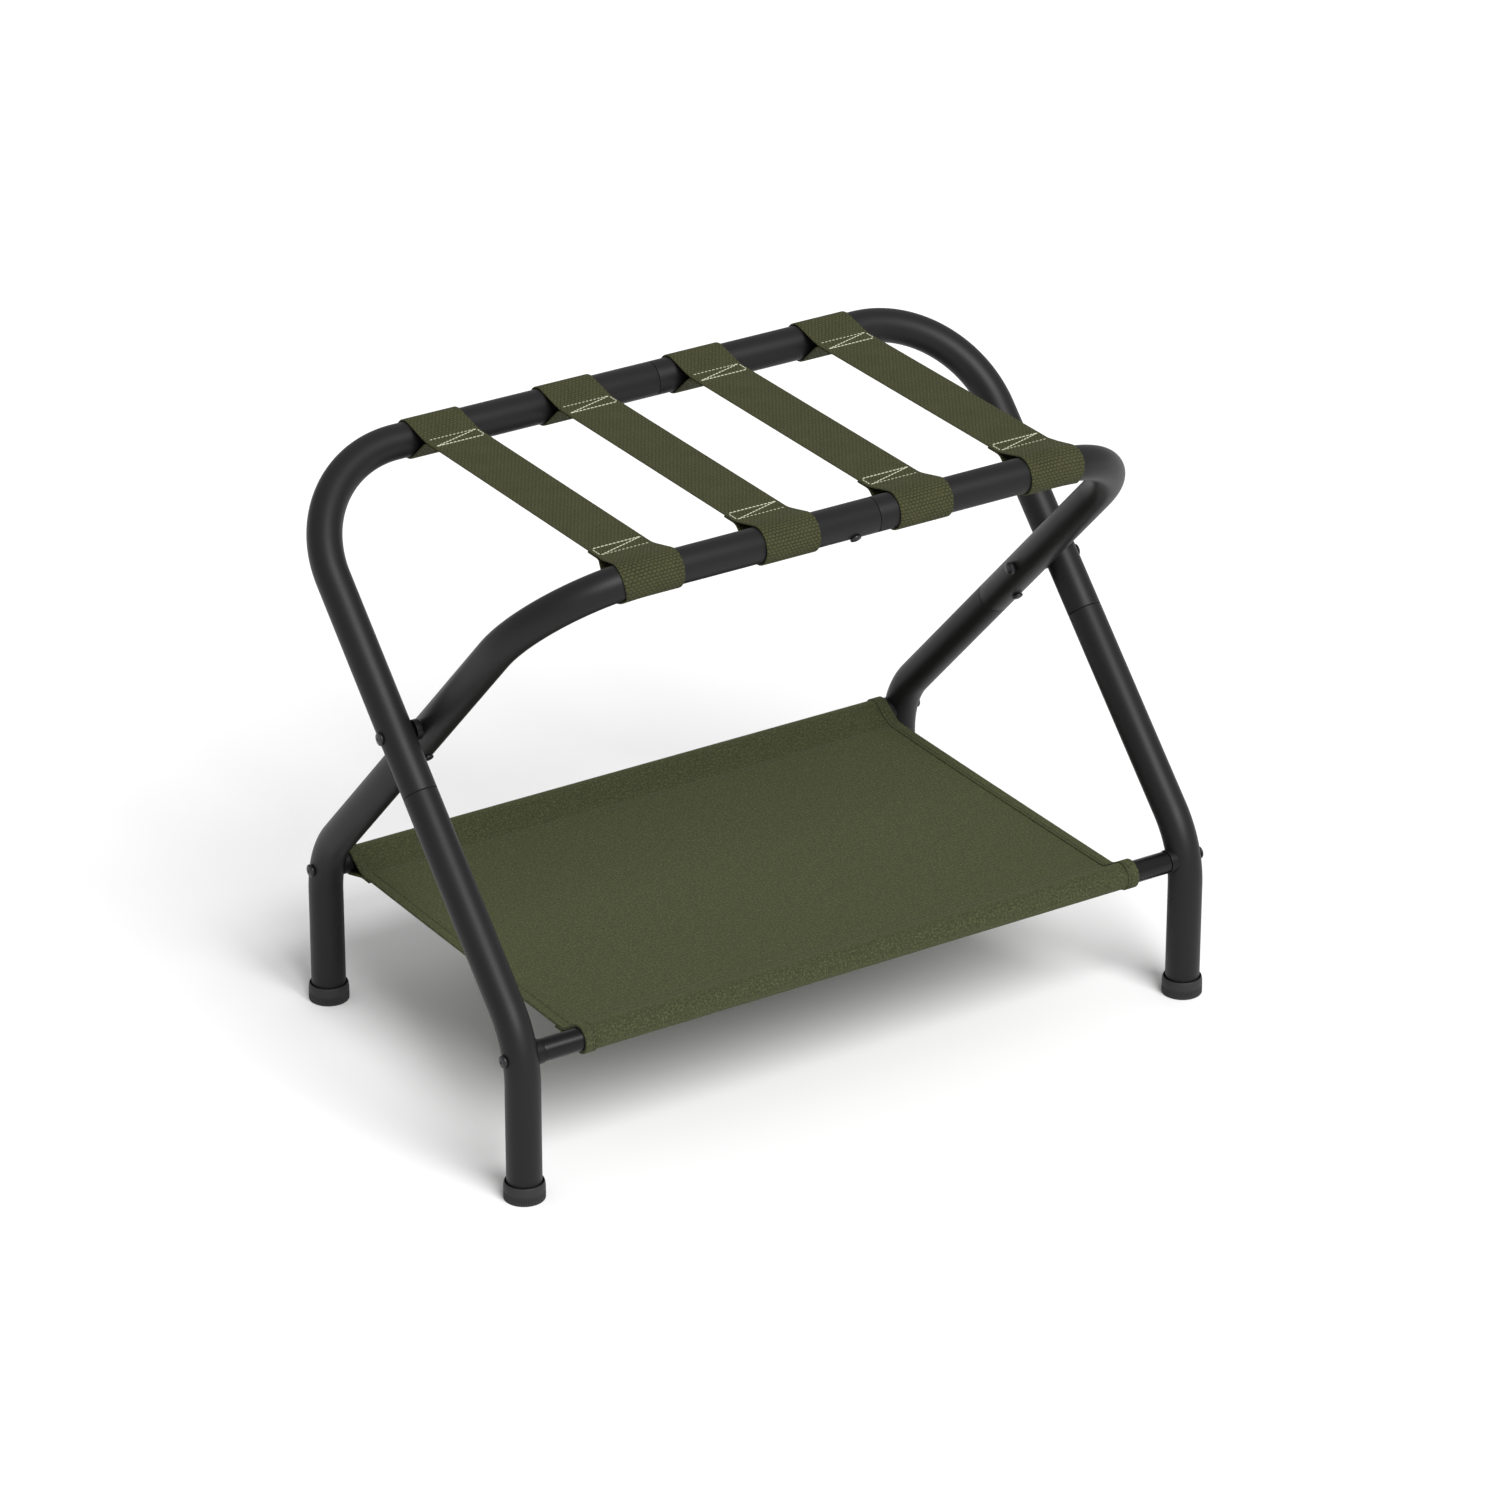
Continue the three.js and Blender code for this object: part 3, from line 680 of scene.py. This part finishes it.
def bar_caps(name, facing, end, body):
    """The plastic ends that saddle a shelf bar on its legs."""
    outer = bar_radius + CAP_LIP
    plug = bar_radius - BAR_WALL - JOINT_GAP
    bore = SCREW_SHANK + JOINT_GAP
    face = tube_radius + CAP_LENGTH
    centre = middle(f"shelf_bar_{end}")
    profile = [(bore, 0), (outer, 0)]
    profile += quarter_round((outer - CAP_EDGE, face - CAP_EDGE), (CAP_EDGE, CAP_EDGE), 0, 90)
    profile += [(plug, face), (plug, face + CAP_PLUG), (bore, face + CAP_PLUG)]
    for side, sign in SIDES.items():
        leg_centre = Vector((sign * half_width[name], centre.y, centre.z))
        inwards = X * -sign
        turn = Z.rotation_difference(inwards).to_matrix()

        def saddle(point):
            if point.z > 0:
                return point
            world = leg_centre + turn @ point
            return Vector((point.x, point.y, saddle_depth(world, facing)))

        material = MATERIALS["cap_plastic"]
        piece = turned(f"bar_end_{end}_{side}", profile, leg_centre, inwards, material, shape=saddle)
        settle(piece, "cap_plastic", body, f"bar_cap_{end}_{side}")


# ---------------------------------------------------------------- feet


def foot(name, place, body, node):
    """A cup with a ribbed gripping band, a round shoulder and a groove round the tube."""
    bore = tube_radius + JOINT_GAP
    rim = bore + FOOT_RIM
    band_height = FOOT_BAND - FOOT_EDGE
    profile = [(0, 0), (foot_radius * FOOT_SOLE_RING, 0), (foot_radius - FOOT_SOLE_EDGE, 0)]
    profile += quarter_round((foot_radius - FOOT_EDGE, FOOT_EDGE), (FOOT_EDGE, FOOT_EDGE), -90, 0)
    for i in range(1, FOOT_BAND_STEPS):
        profile.append((foot_radius, FOOT_EDGE + band_height * i / FOOT_BAND_STEPS))
    shoulder = (foot_radius - rim, foot_height - FOOT_BAND)
    profile += quarter_round((rim, FOOT_BAND), shoulder, 0, 90, 2 * LIP_STEPS)
    profile += [(bore, foot_height - FOOT_GROOVE), (bore, FOOT_FLOOR), (0, FOOT_FLOOR)]

    def ribs(point):
        radius = math.hypot(point.x, point.y)
        share = (point.z - FOOT_EDGE) / band_height
        if radius < rim or not 0 <= share <= 1:
            return point
        fade = min(1, FOOT_RIB_FADE * share, FOOT_RIB_FADE * (1 - share))
        wave = 0.5 - 0.5 * math.cos(FOOT_RIBS * math.atan2(point.y, point.x))
        cut = FOOT_RIB_DEPTH * fade * wave**2
        return Vector((point.x * (1 - cut / radius), point.y * (1 - cut / radius), point.z))

    material = MATERIALS["foot_plastic"]
    piece = turned(name, profile, place, Z, material, sides=FOOT_RIBS * SIDES_PER_RIB, shape=ribs)
    settle(piece, "foot_plastic", body, node)


# ---------------------------------------------------------------- screws and pivots


def cross_recess(radius, depth):
    """A cutter for a cross recess whose arms narrow downwards. Height 0 is halfway up it."""
    mesh_data = bmesh.new()
    arm = radius * RECESS_ARM
    rings = []
    for z, share in ((-depth, RECESS_TAPER), (depth, 1.0)):
        vertices = []
        for quarter in range(4):
            turn = Matrix.Rotation(quarter * math.pi / 2, 3, "Z")
            for x, y in ((radius, -arm), (radius, arm), (arm, arm)):
                vertices.append(mesh_data.verts.new(turn @ Vector((x * share, y * share, z))))
        rings.append(vertices)
    join_rings(mesh_data, rings)
    for end in rings:
        mesh_data.faces.new(end)
    return finish_mesh("recess", mesh_data, MATERIALS["black_fastener"])


def screw(name, head, shank, length, place, direction, body, node):
    """A pan-head screw with a cross recess. Its head's underside is at the place."""
    radius, height = head
    side = height * HEAD_SIDE
    edge = (HEAD_EDGE, HEAD_EDGE)
    tip, taper = (shank * part for part in SCREW_TIP)
    profile = [(0, -length), (tip, -length), (shank, -length + taper), (shank, 0)]
    profile += quarter_round((radius - HEAD_EDGE, HEAD_EDGE), edge, -90, 0, EDGE_STEPS)
    profile += quarter_round((0, side), (radius, height - side), 0, DOME_END)
    profile.append((0, height))
    piece = turned(name, profile, Vector((0, 0, 0)), Z, MATERIALS["black_fastener"])
    cutter = cross_recess(radius * RECESS_REACH, height * RECESS_DEPTH)
    cutter.location = Z * height
    carve(piece, cutter)
    turn = Z.rotation_difference(direction).to_matrix().to_4x4()
    piece.data.transform(Matrix.Translation(place) @ turn)
    settle(piece, "black_fastener", body, node)


def frame_screws(name, facing, end, body):
    """The screws under the plug-in joints, and those through the legs into the shelf bar."""
    under = underside_direction(facing)
    seat = under * (tube_radius + JOINT_GAP)
    joint_screw = (JOINT_SCREW_HEAD, JOINT_SCREW_SHANK, JOINT_SCREW_LENGTH)
    place = on_slope(TOP_SEAM - TOP_SCREW_INSET, facing, slope_length) + seat
    screw(f"{name}_top_bar_screw", *joint_screw, place, under, body, f"{name}_top_screw")
    bar_centre = middle(f"shelf_bar_{end}")
    bar_screw_length = 2 * tube_radius + CAP_LENGTH + BAR_SCREW_BITE
    bar_screw = (SCREW_HEAD, SCREW_SHANK, bar_screw_length)
    for side, sign in SIDES.items():
        x = sign * half_width[name]
        place = on_slope(x, facing, SIDE_SCREW_INSET - SIDE_SEAM[name]) + seat
        node = f"{name}_side_screw_{side}"
        screw(f"{name}_side_joint_screw_{side}", *joint_screw, place, under, body, node)
        out = X * sign
        place = Vector((x, bar_centre.y, bar_centre.z)) + out * (tube_radius + JOINT_GAP)
        node = f"bar_screw_{end}_{side}"
        screw(f"cross_bar_screw_{end}_{side}", *bar_screw, place, out, body, node)


def pivots():
    """A bolt through both side tubes, a spacer between them and a domed nut inside."""
    head_x = half_width["outer"] + tube_radius + JOINT_GAP
    nut_x = half_width["inner"] - tube_radius - JOINT_GAP
    spacer_x = half_width["inner"] + tube_radius + JOINT_GAP
    spacer_length = head_x - 2 * tube_radius - 2 * JOINT_GAP - spacer_x
    shank_length = size("pivot_bolt_left").x - PIVOT_HEAD[1]
    nut_radius = size("pivot_nut_left").z / 2
    bore = PIVOT_SHANK + JOINT_GAP
    thread_depth = shank_length - (head_x - nut_x) + JOINT_GAP
    dome = PIVOT_NUT_LENGTH * PIVOT_NUT_DOME
    bolt = (PIVOT_HEAD, PIVOT_SHANK, shank_length)
    edge = (PIVOT_EDGE, PIVOT_EDGE)
    for side, sign in SIDES.items():
        out = X * sign
        place = pivot + out * head_x
        screw(f"pivot_screw_{side}", *bolt, place, out, "outer_frame", f"pivot_bolt_{side}")

        rim = SPACER_RADIUS - PIVOT_EDGE
        profile = [(bore, 0), *quarter_round((rim, PIVOT_EDGE), edge, -90, 0)]
        profile += quarter_round((rim, spacer_length - PIVOT_EDGE), edge, 0, 90)
        profile.append((bore, spacer_length))
        material = MATERIALS["cap_plastic"]
        piece = turned(f"pivot_washer_{side}", profile, pivot + out * spacer_x, out, material)
        settle(piece, "cap_plastic", "outer_frame", f"pivot_spacer_{side}")

        profile = [(0, thread_depth), (bore, thread_depth), (bore, 0)]
        profile += quarter_round((nut_radius - PIVOT_EDGE, PIVOT_EDGE), edge, -90, 0)
        profile += quarter_round((0, PIVOT_NUT_LENGTH - dome), (nut_radius, dome), 0, DOME_END)
        profile.append((0, PIVOT_NUT_LENGTH))
        material = MATERIALS["black_fastener"]
        piece = turned(f"pivot_cap_nut_{side}", profile, pivot + out * nut_x, -out, material)
        settle(piece, "black_fastener", "outer_frame", f"pivot_nut_{side}")


# ---------------------------------------------------------------- cloth bands


def corner_curve(before, corner, after, steps=8):
    """Points on a smooth curve that leaves the line before-corner and joins corner-after."""
    points = []
    for i in range(steps + 1):
        t = i / steps
        points.append(before * (1 - t) ** 2 + corner * 2 * t * (1 - t) + after * t**2)
    return points


def loop_line(radius, height, nose, lap, layer_drop, ease):
    """A band's middle line at one bar, as 2D points from the flat stretch round the bar.

    The bar is at the origin and x runs to the middle of the rack. The band rises from its
    height at the nose, rounds the bar, comes back under it and ends in a lap below itself.
    """
    upper = Vector((nose, height))
    lower = Vector((nose, height - layer_drop))
    upper_angle = math.atan2(upper.y, upper.x) + math.acos(radius / upper.length)
    lower_angle = math.atan2(lower.y, lower.x) - math.acos(radius / lower.length) + 2 * math.pi
    arc = []
    for i in range(LOOP_STEPS + 1):
        angle = upper_angle + (lower_angle - upper_angle) * i / LOOP_STEPS
        arc.append(Vector((math.cos(angle), math.sin(angle))) * radius)
    rising = (arc[0] - upper).normalized()
    returning = (lower - arc[-1]).normalized()
    points = corner_curve(upper + Vector((ease * EASE_ON_FLAT, 0)), upper, upper + rising * ease)
    points += arc
    points += corner_curve(lower - returning * LAP_TURN, lower, lower + Vector((LAP_TURN, 0)))
    points.append(lower + Vector((lap, 0)))
    return points


def band_line(front_loop, bar_reach, bar_height, flat_steps):
    """A band's whole middle line in the YZ plane, from its rear lap to its front lap."""
    front = [Vector((-bar_reach + point.x, bar_height + point.y)) for point in front_loop]
    rear = [Vector((-point.x, point.y)) for point in front]
    first, last = rear[0], front[0]
    flat = [first.lerp(last, i / flat_steps) for i in range(1, flat_steps)]
    return [*reversed(rear), *flat, *front]


def line_lengths(line):
    """The length along a line up to each of its points."""
    lengths = [0.0]
    for one, other in zip(line, line[1:]):
        lengths.append(lengths[-1] + (other - one).length)
    return lengths


def line_normals(line):
    """Unit normals, on the side that faces up on the flat stretch."""
    normals = []
    for i in range(len(line)):
        along = line[min(i + 1, len(line) - 1)] - line[max(i - 1, 0)]
        normals.append(Vector((along.y, -along.x)).normalized())
    return normals


def band_section(width, thickness, columns, hem=0.0, hem_rise=0.0):
    """A band's outline across its width, as (across, out) points round it.

    A hem is a raised strip along each edge, with a groove where it is stitched.
    """
    half = width / 2
    edge = thickness / 2
    rows = []
    for i in range(columns + 1):
        rows.append(-half + edge + (width - 2 * edge) * i / columns)
    crease = SHELF_HEM_CREASE
    stitch = half - hem + SHELF_HEM_STITCH
    if hem:
        marks = [half - hem - crease, half - hem - crease / 2, half - hem]
        marks += [stitch - crease, stitch, stitch + crease, half - hem / 2, half - 2 * edge]
        rows = [x for x in rows if abs(x) < half - hem - 2 * crease]
        rows = sorted([-mark for mark in marks] + rows + marks)

    def top(x):
        if not hem or abs(x) < half - hem - crease / 2:
            return edge
        groove = SHELF_HEM_GROOVE if abs(abs(x) - stitch) < crease / 2 else 0
        return edge + hem_rise - groove

    level = (top(half) - edge) / 2
    reach = (top(half) + edge) / 2
    rim = (RIM_TURN, -RIM_TURN, RIM_STEPS)
    outline = [(x, top(x)) for x in rows]
    outline += quarter_round((half - edge, level), (edge, reach), *rim)
    outline += [(x, -edge) for x in reversed(rows)]
    outline += quarter_round((-half + edge, level), (-edge, -reach), *rim)
    return outline


def band(name, line, section, x, material, move):
    """A closed band along a line, with its width along X and UVs in metres.

    Move takes each vertex's place in the flat-sided band and gives its final one.
    """
    mesh_data = bmesh.new()
    across_layer = mesh_data.verts.layers.float.new("across")
    along_layer = mesh_data.verts.layers.float.new("along")
    rings = []
    for point, normal, length in zip(line, line_normals(line), line_lengths(line)):
        vertices = []
        for across, out in section:
            flat = point + normal * out
            vertex = mesh_data.verts.new((x + across, flat.x, flat.y))
            vertex[across_layer] = across
            vertex[along_layer] = length
            vertices.append(vertex)
        rings.append(vertices)
    join_rings(mesh_data, rings)
    for end in (rings[0], rings[-1]):
        mesh_data.faces.new(end)
    for vertex in mesh_data.verts:
        vertex.co = move(vertex.co)
    uv_layer = mesh_data.loops.layers.uv.new("UVMap")
    for face in mesh_data.faces:
        for corner in face.loops:
            corner[uv_layer].uv = (corner.vert[across_layer], corner.vert[along_layer])
    return finish_mesh(name, mesh_data, material)


def stitches(mesh_data, run):
    """Thread along a run of (point, out direction), one short sunken arch for each stitch."""
    lengths = line_lengths([point for point, out in run])

    def at(distance):
        i = next(i for i in range(1, len(lengths)) if lengths[i] >= distance - 1e-9)
        share = (distance - lengths[i - 1]) / (lengths[i] - lengths[i - 1])
        return run[i - 1][0].lerp(run[i][0], share), run[i - 1][1].lerp(run[i][1], share)

    count = int(lengths[-1] / STITCH_PITCH)
    margin = (lengths[-1] - count * STITCH_PITCH) / 2
    for i in range(count):
        start = margin + i * STITCH_PITCH + (STITCH_PITCH - STITCH_LENGTH) / 2
        (first, out), (last, _) = at(start), at(start + STITCH_LENGTH)
        along = (last - first).normalized()
        out = (out - along * out.dot(along)).normalized()
        rings = []
        for share, swell in STITCH_SWELL:
            lift = (math.sin(math.pi * share) ** 0.5 - STITCH_SINK) * STITCH_RADIUS
            centre = first.lerp(last, share) + out * lift
            rings.append(ring(mesh_data, centre, along, out, STITCH_RADIUS * swell, STITCH_SIDES))
        join_rings(mesh_data, rings)
        for end in (rings[0], rings[-1]):
            mesh_data.faces.new(end)


# ---------------------------------------------------------------- straps

strap_radius = tube_radius + LOOP_GAP + STRAP_THICKNESS / 2
strap_height = strap_top - STRAP_THICKNESS / 2 - rear_top_bar.z
inner_straight = half_width["inner"] - CORNER_RADIUS
strap_layer_drop = STRAP_THICKNESS + LAYER_GAP


def follow_corner(point):
    """Bends a loop on the front bar round the bar's corner, fading out towards its nose."""
    past = abs(point.x) - inner_straight
    inboard = point.y + rear_top_bar.y
    fade = (inboard - tube_radius) / (STRAP_NOSE - tube_radius)
    weight = 1 - min(max(fade, 0), 1)
    if past <= 0 or weight <= 0:
        return point
    slope = slope_direction(-1)
    bar = Vector((point.x, -rear_top_bar.y, rear_top_bar.z))
    angle = past / CORNER_RADIUS
    arm = CORNER_RADIUS + (point - bar).dot(slope)
    # Known fault: below the bar the shift should be inwards, and copysign turns it outwards.
    shift_x = math.copysign(arm * math.sin(angle) - past, point.x)
    shift_slope = arm * (math.cos(angle) - 1)
    return point + (X * shift_x + slope * shift_slope) * weight


def strap_stitching(centres):
    """Two lines across each lap, joined down one side and by a diagonal, on both faces."""
    near = STRAP_NOSE + STRAP_STITCH_NEAR
    far = STRAP_NOSE + STRAP_LAP - STRAP_STITCH_FAR
    half = STRAP_WIDTH / 2 - STRAP_STITCH_INSET
    bottom = strap_top - STRAP_THICKNESS - strap_layer_drop
    faces = ((strap_top, Z), (bottom, -Z))
    for end, sign, body in (("rear", 1, "straps_rear"), ("front", -1, "straps_front")):
        mesh_data = bmesh.new()
        near_y = sign * (rear_top_bar.y - near)
        far_y = sign * (rear_top_bar.y - far)
        for x in centres:
            one, other = x + sign * half, x - sign * half
            lines = (
                ((one, near_y), (other, near_y)),
                ((one, far_y), (other, far_y)),
                ((one, near_y), (one, far_y)),
                ((one, near_y), (other, far_y)),
            )
            for start, stop in lines:
                for height, out in faces:
                    run = [(Vector((*start, height)), out), (Vector((*stop, height)), out)]
                    stitches(mesh_data, run)
        piece = finish_mesh(f"strap_stitching_{end}", mesh_data, STRAP_THREAD)
        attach(piece, body)


def straps():
    """Four straps, each one length of webbing looped round both top bars."""
    closing = (STRAP_NOSE, STRAP_LAP, strap_layer_drop, STRAP_EASE)
    loop = loop_line(strap_radius, strap_height, *closing)
    line = band_line(loop, rear_top_bar.y, rear_top_bar.z, STRAP_STEPS["flat"])
    section = band_section(STRAP_WIDTH, STRAP_THICKNESS, STRAP_STEPS["across"])
    material = MATERIALS["strap_webbing"]
    pitch = 2 * inner_straight / (STRAP_COUNT - 1)
    centres = [i * pitch - inner_straight for i in range(STRAP_COUNT)]
    for number, x in enumerate(centres, start=1):
        piece = band(f"strap_{number}", line, section, x, material, follow_corner)
        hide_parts(f"strap_{number}_rear_half", f"strap_{number}_front_half")
        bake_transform(piece)
    strap_stitching(centres)


# ---------------------------------------------------------------- shelf

shelf_radius = bar_radius + LOOP_GAP + SHELF_THICKNESS / 2
shelf_height = shelf_bottom + SHELF_THICKNESS / 2 - front_shelf_bar.z
shelf_reach = -front_shelf_bar.y


def shelf_sag(point):
    """The panel hangs a little between its sleeves, and its hemmed sides stay straighter."""
    span = shelf_reach - SHELF_NOSE
    along = min(abs(point.y) / span, 1)
    across = min(2 * abs(point.x) / shelf_width, 1)
    hang = (1 - along**2) * (1 - SHELF_SIDE_HOLD * across**4)
    waves = 0
    for wave, turn_x, turn_y, phase in SHELF_WAVES:
        waves += wave * math.sin(turn_x * point.x + turn_y * point.y + phase)
    drop = SHELF_SAG * hang + SHELF_RIPPLE * waves * (1 - along**2) * (1 - across**6)
    return point - Z * drop


def shelf_stitching(line):
    """A line along each side hem, round both sleeves, and the two seams that close them."""
    mesh_data = bmesh.new()
    surface = SHELF_THICKNESS / 2 + SHELF_HEM_RISE - SHELF_HEM_GROOVE
    normals = line_normals(line)
    for sign in SIDES.values():
        x = sign * (shelf_width / 2 - SHELF_HEM + SHELF_HEM_STITCH)
        run = []
        for point, normal in zip(line, normals):
            flat = point + normal * surface
            run.append((shelf_sag(Vector((x, *flat))), Vector((0, *normal))))
        stitches(mesh_data, run)
    half = shelf_width / 2 - SHELF_HEM
    top = shelf_bottom + SHELF_THICKNESS
    for sign in (-1, 1):
        for lap_share in SHELF_SEAMS:
            y = sign * (shelf_reach - SHELF_NOSE - SHELF_LAP * lap_share)
            run = []
            for i in range(SEAM_STEPS + 1):
                x = -half + 2 * half * i / SEAM_STEPS
                run.append((shelf_sag(Vector((x, y, top))), Z))
            stitches(mesh_data, run)
    return finish_mesh("shelf_stitching", mesh_data, SHELF_THREAD)


def shelf():
    """One sheet of canvas with a sleeve round each shelf bar and hemmed sides."""
    closing = (SHELF_NOSE, SHELF_LAP, SHELF_THICKNESS + LAYER_GAP, SHELF_EASE)
    loop = loop_line(shelf_radius, shelf_height, *closing)
    line = band_line(loop, shelf_reach, front_shelf_bar.z, SHELF_STEPS["flat"])
    columns = SHELF_STEPS["across"]
    section = band_section(shelf_width, SHELF_THICKNESS, columns, SHELF_HEM, SHELF_HEM_RISE)
    piece = band("shelf", line, section, 0, MATERIALS["shelf_canvas"], shelf_sag)
    stitching = shelf_stitching(line)
    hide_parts("shelf_front_half", "shelf_rear_half")
    for cloth in (piece, stitching):
        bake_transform(cloth)


# ---------------------------------------------------------------- the rack

for name, part in FRAMES.items():
    facing, end, body = part["facing"], part["end"], part["body"]
    upper_tubes(name, facing, body)
    legs(name, facing, body)
    shelf_bar(name, facing, end, body)
    bar_caps(name, facing, end, body)
    frame_screws(name, facing, end, body)
    for side, sign in SIDES.items():
        place = Vector((sign * half_width[name], -facing * foot_reach, 0))
        foot(f"foot_cap_{end}_{side}", place, body, f"foot_{end}_{side}")
pivots()
straps()
shelf()

# ---------------------------------------------------------------- floor, light and camera

FLOOR_COLOR = (0.84, 0.84, 0.84)
FLOOR_SIZE = 40.0

CAMERA_TARGET = Vector((0.0023, -0.0146, 0.2374))
CAMERA_AZIMUTH = math.radians(32.68)
CAMERA_ELEVATION = math.radians(26.0)
CAMERA_DISTANCE = 5.5273
CAMERA_LENS = 161.88
CAMERA_SENSOR = 36.0

SURROUNDINGS_STRENGTH = 0.55
KEY_LIGHT = {"azimuth": 32, "elevation": 46, "spread": 35, "strength": 3.6}


def look_direction(azimuth, elevation):
    """The direction in which something looks down on the rack from an azimuth and elevation."""
    flat = math.cos(elevation)
    return Vector((flat * math.sin(azimuth), flat * math.cos(azimuth), -math.sin(elevation)))


def floor():
    mesh_data = bmesh.new()
    bmesh.ops.create_grid(mesh_data, x_segments=1, y_segments=1, size=FLOOR_SIZE / 2)
    shader = Shader("floor")
    shader.set(Base_Color=shade(FLOOR_COLOR, 1.0), Roughness=0.9, Specular_IOR_Level=0.1)
    plane = finish_mesh("floor", mesh_data, shader.material)


def key_light(azimuth, elevation, spread, strength):
    """A wide, far light. Azimuth is to the right of the camera, and all angles are in degrees."""
    light = bpy.data.lights.new("key", "SUN")
    light.angle = math.radians(spread)
    light.energy = strength
    lamp = bpy.data.objects.new("key", light)
    look = look_direction(CAMERA_AZIMUTH - math.radians(azimuth), math.radians(elevation))
    lamp.rotation_euler = look.to_track_quat("-Z", "Y").to_euler()
    bpy.context.scene.collection.objects.link(lamp)


def surroundings(strength):
    """Even white light from all round."""
    world = bpy.data.worlds.new("studio")
    world.use_nodes = True
    background = world.node_tree.nodes["Background"]
    background.inputs["Color"].default_value = (1.0, 1.0, 1.0, 1.0)
    background.inputs["Strength"].default_value = strength
    bpy.context.scene.world = world


def camera():
    data = bpy.data.cameras.new("camera")
    data.lens = CAMERA_LENS
    data.sensor_width = CAMERA_SENSOR
    look = look_direction(CAMERA_AZIMUTH, CAMERA_ELEVATION)
    viewer = bpy.data.objects.new("camera", data)
    viewer.location = CAMERA_TARGET - look * CAMERA_DISTANCE
    viewer.rotation_euler = look.to_track_quat("-Z", "Y").to_euler()
    bpy.context.scene.collection.objects.link(viewer)
    bpy.context.scene.camera = viewer


floor()
surroundings(SURROUNDINGS_STRENGTH)
key_light(**KEY_LIGHT)
bpy.context.scene.view_settings.view_transform = "Standard"
camera()
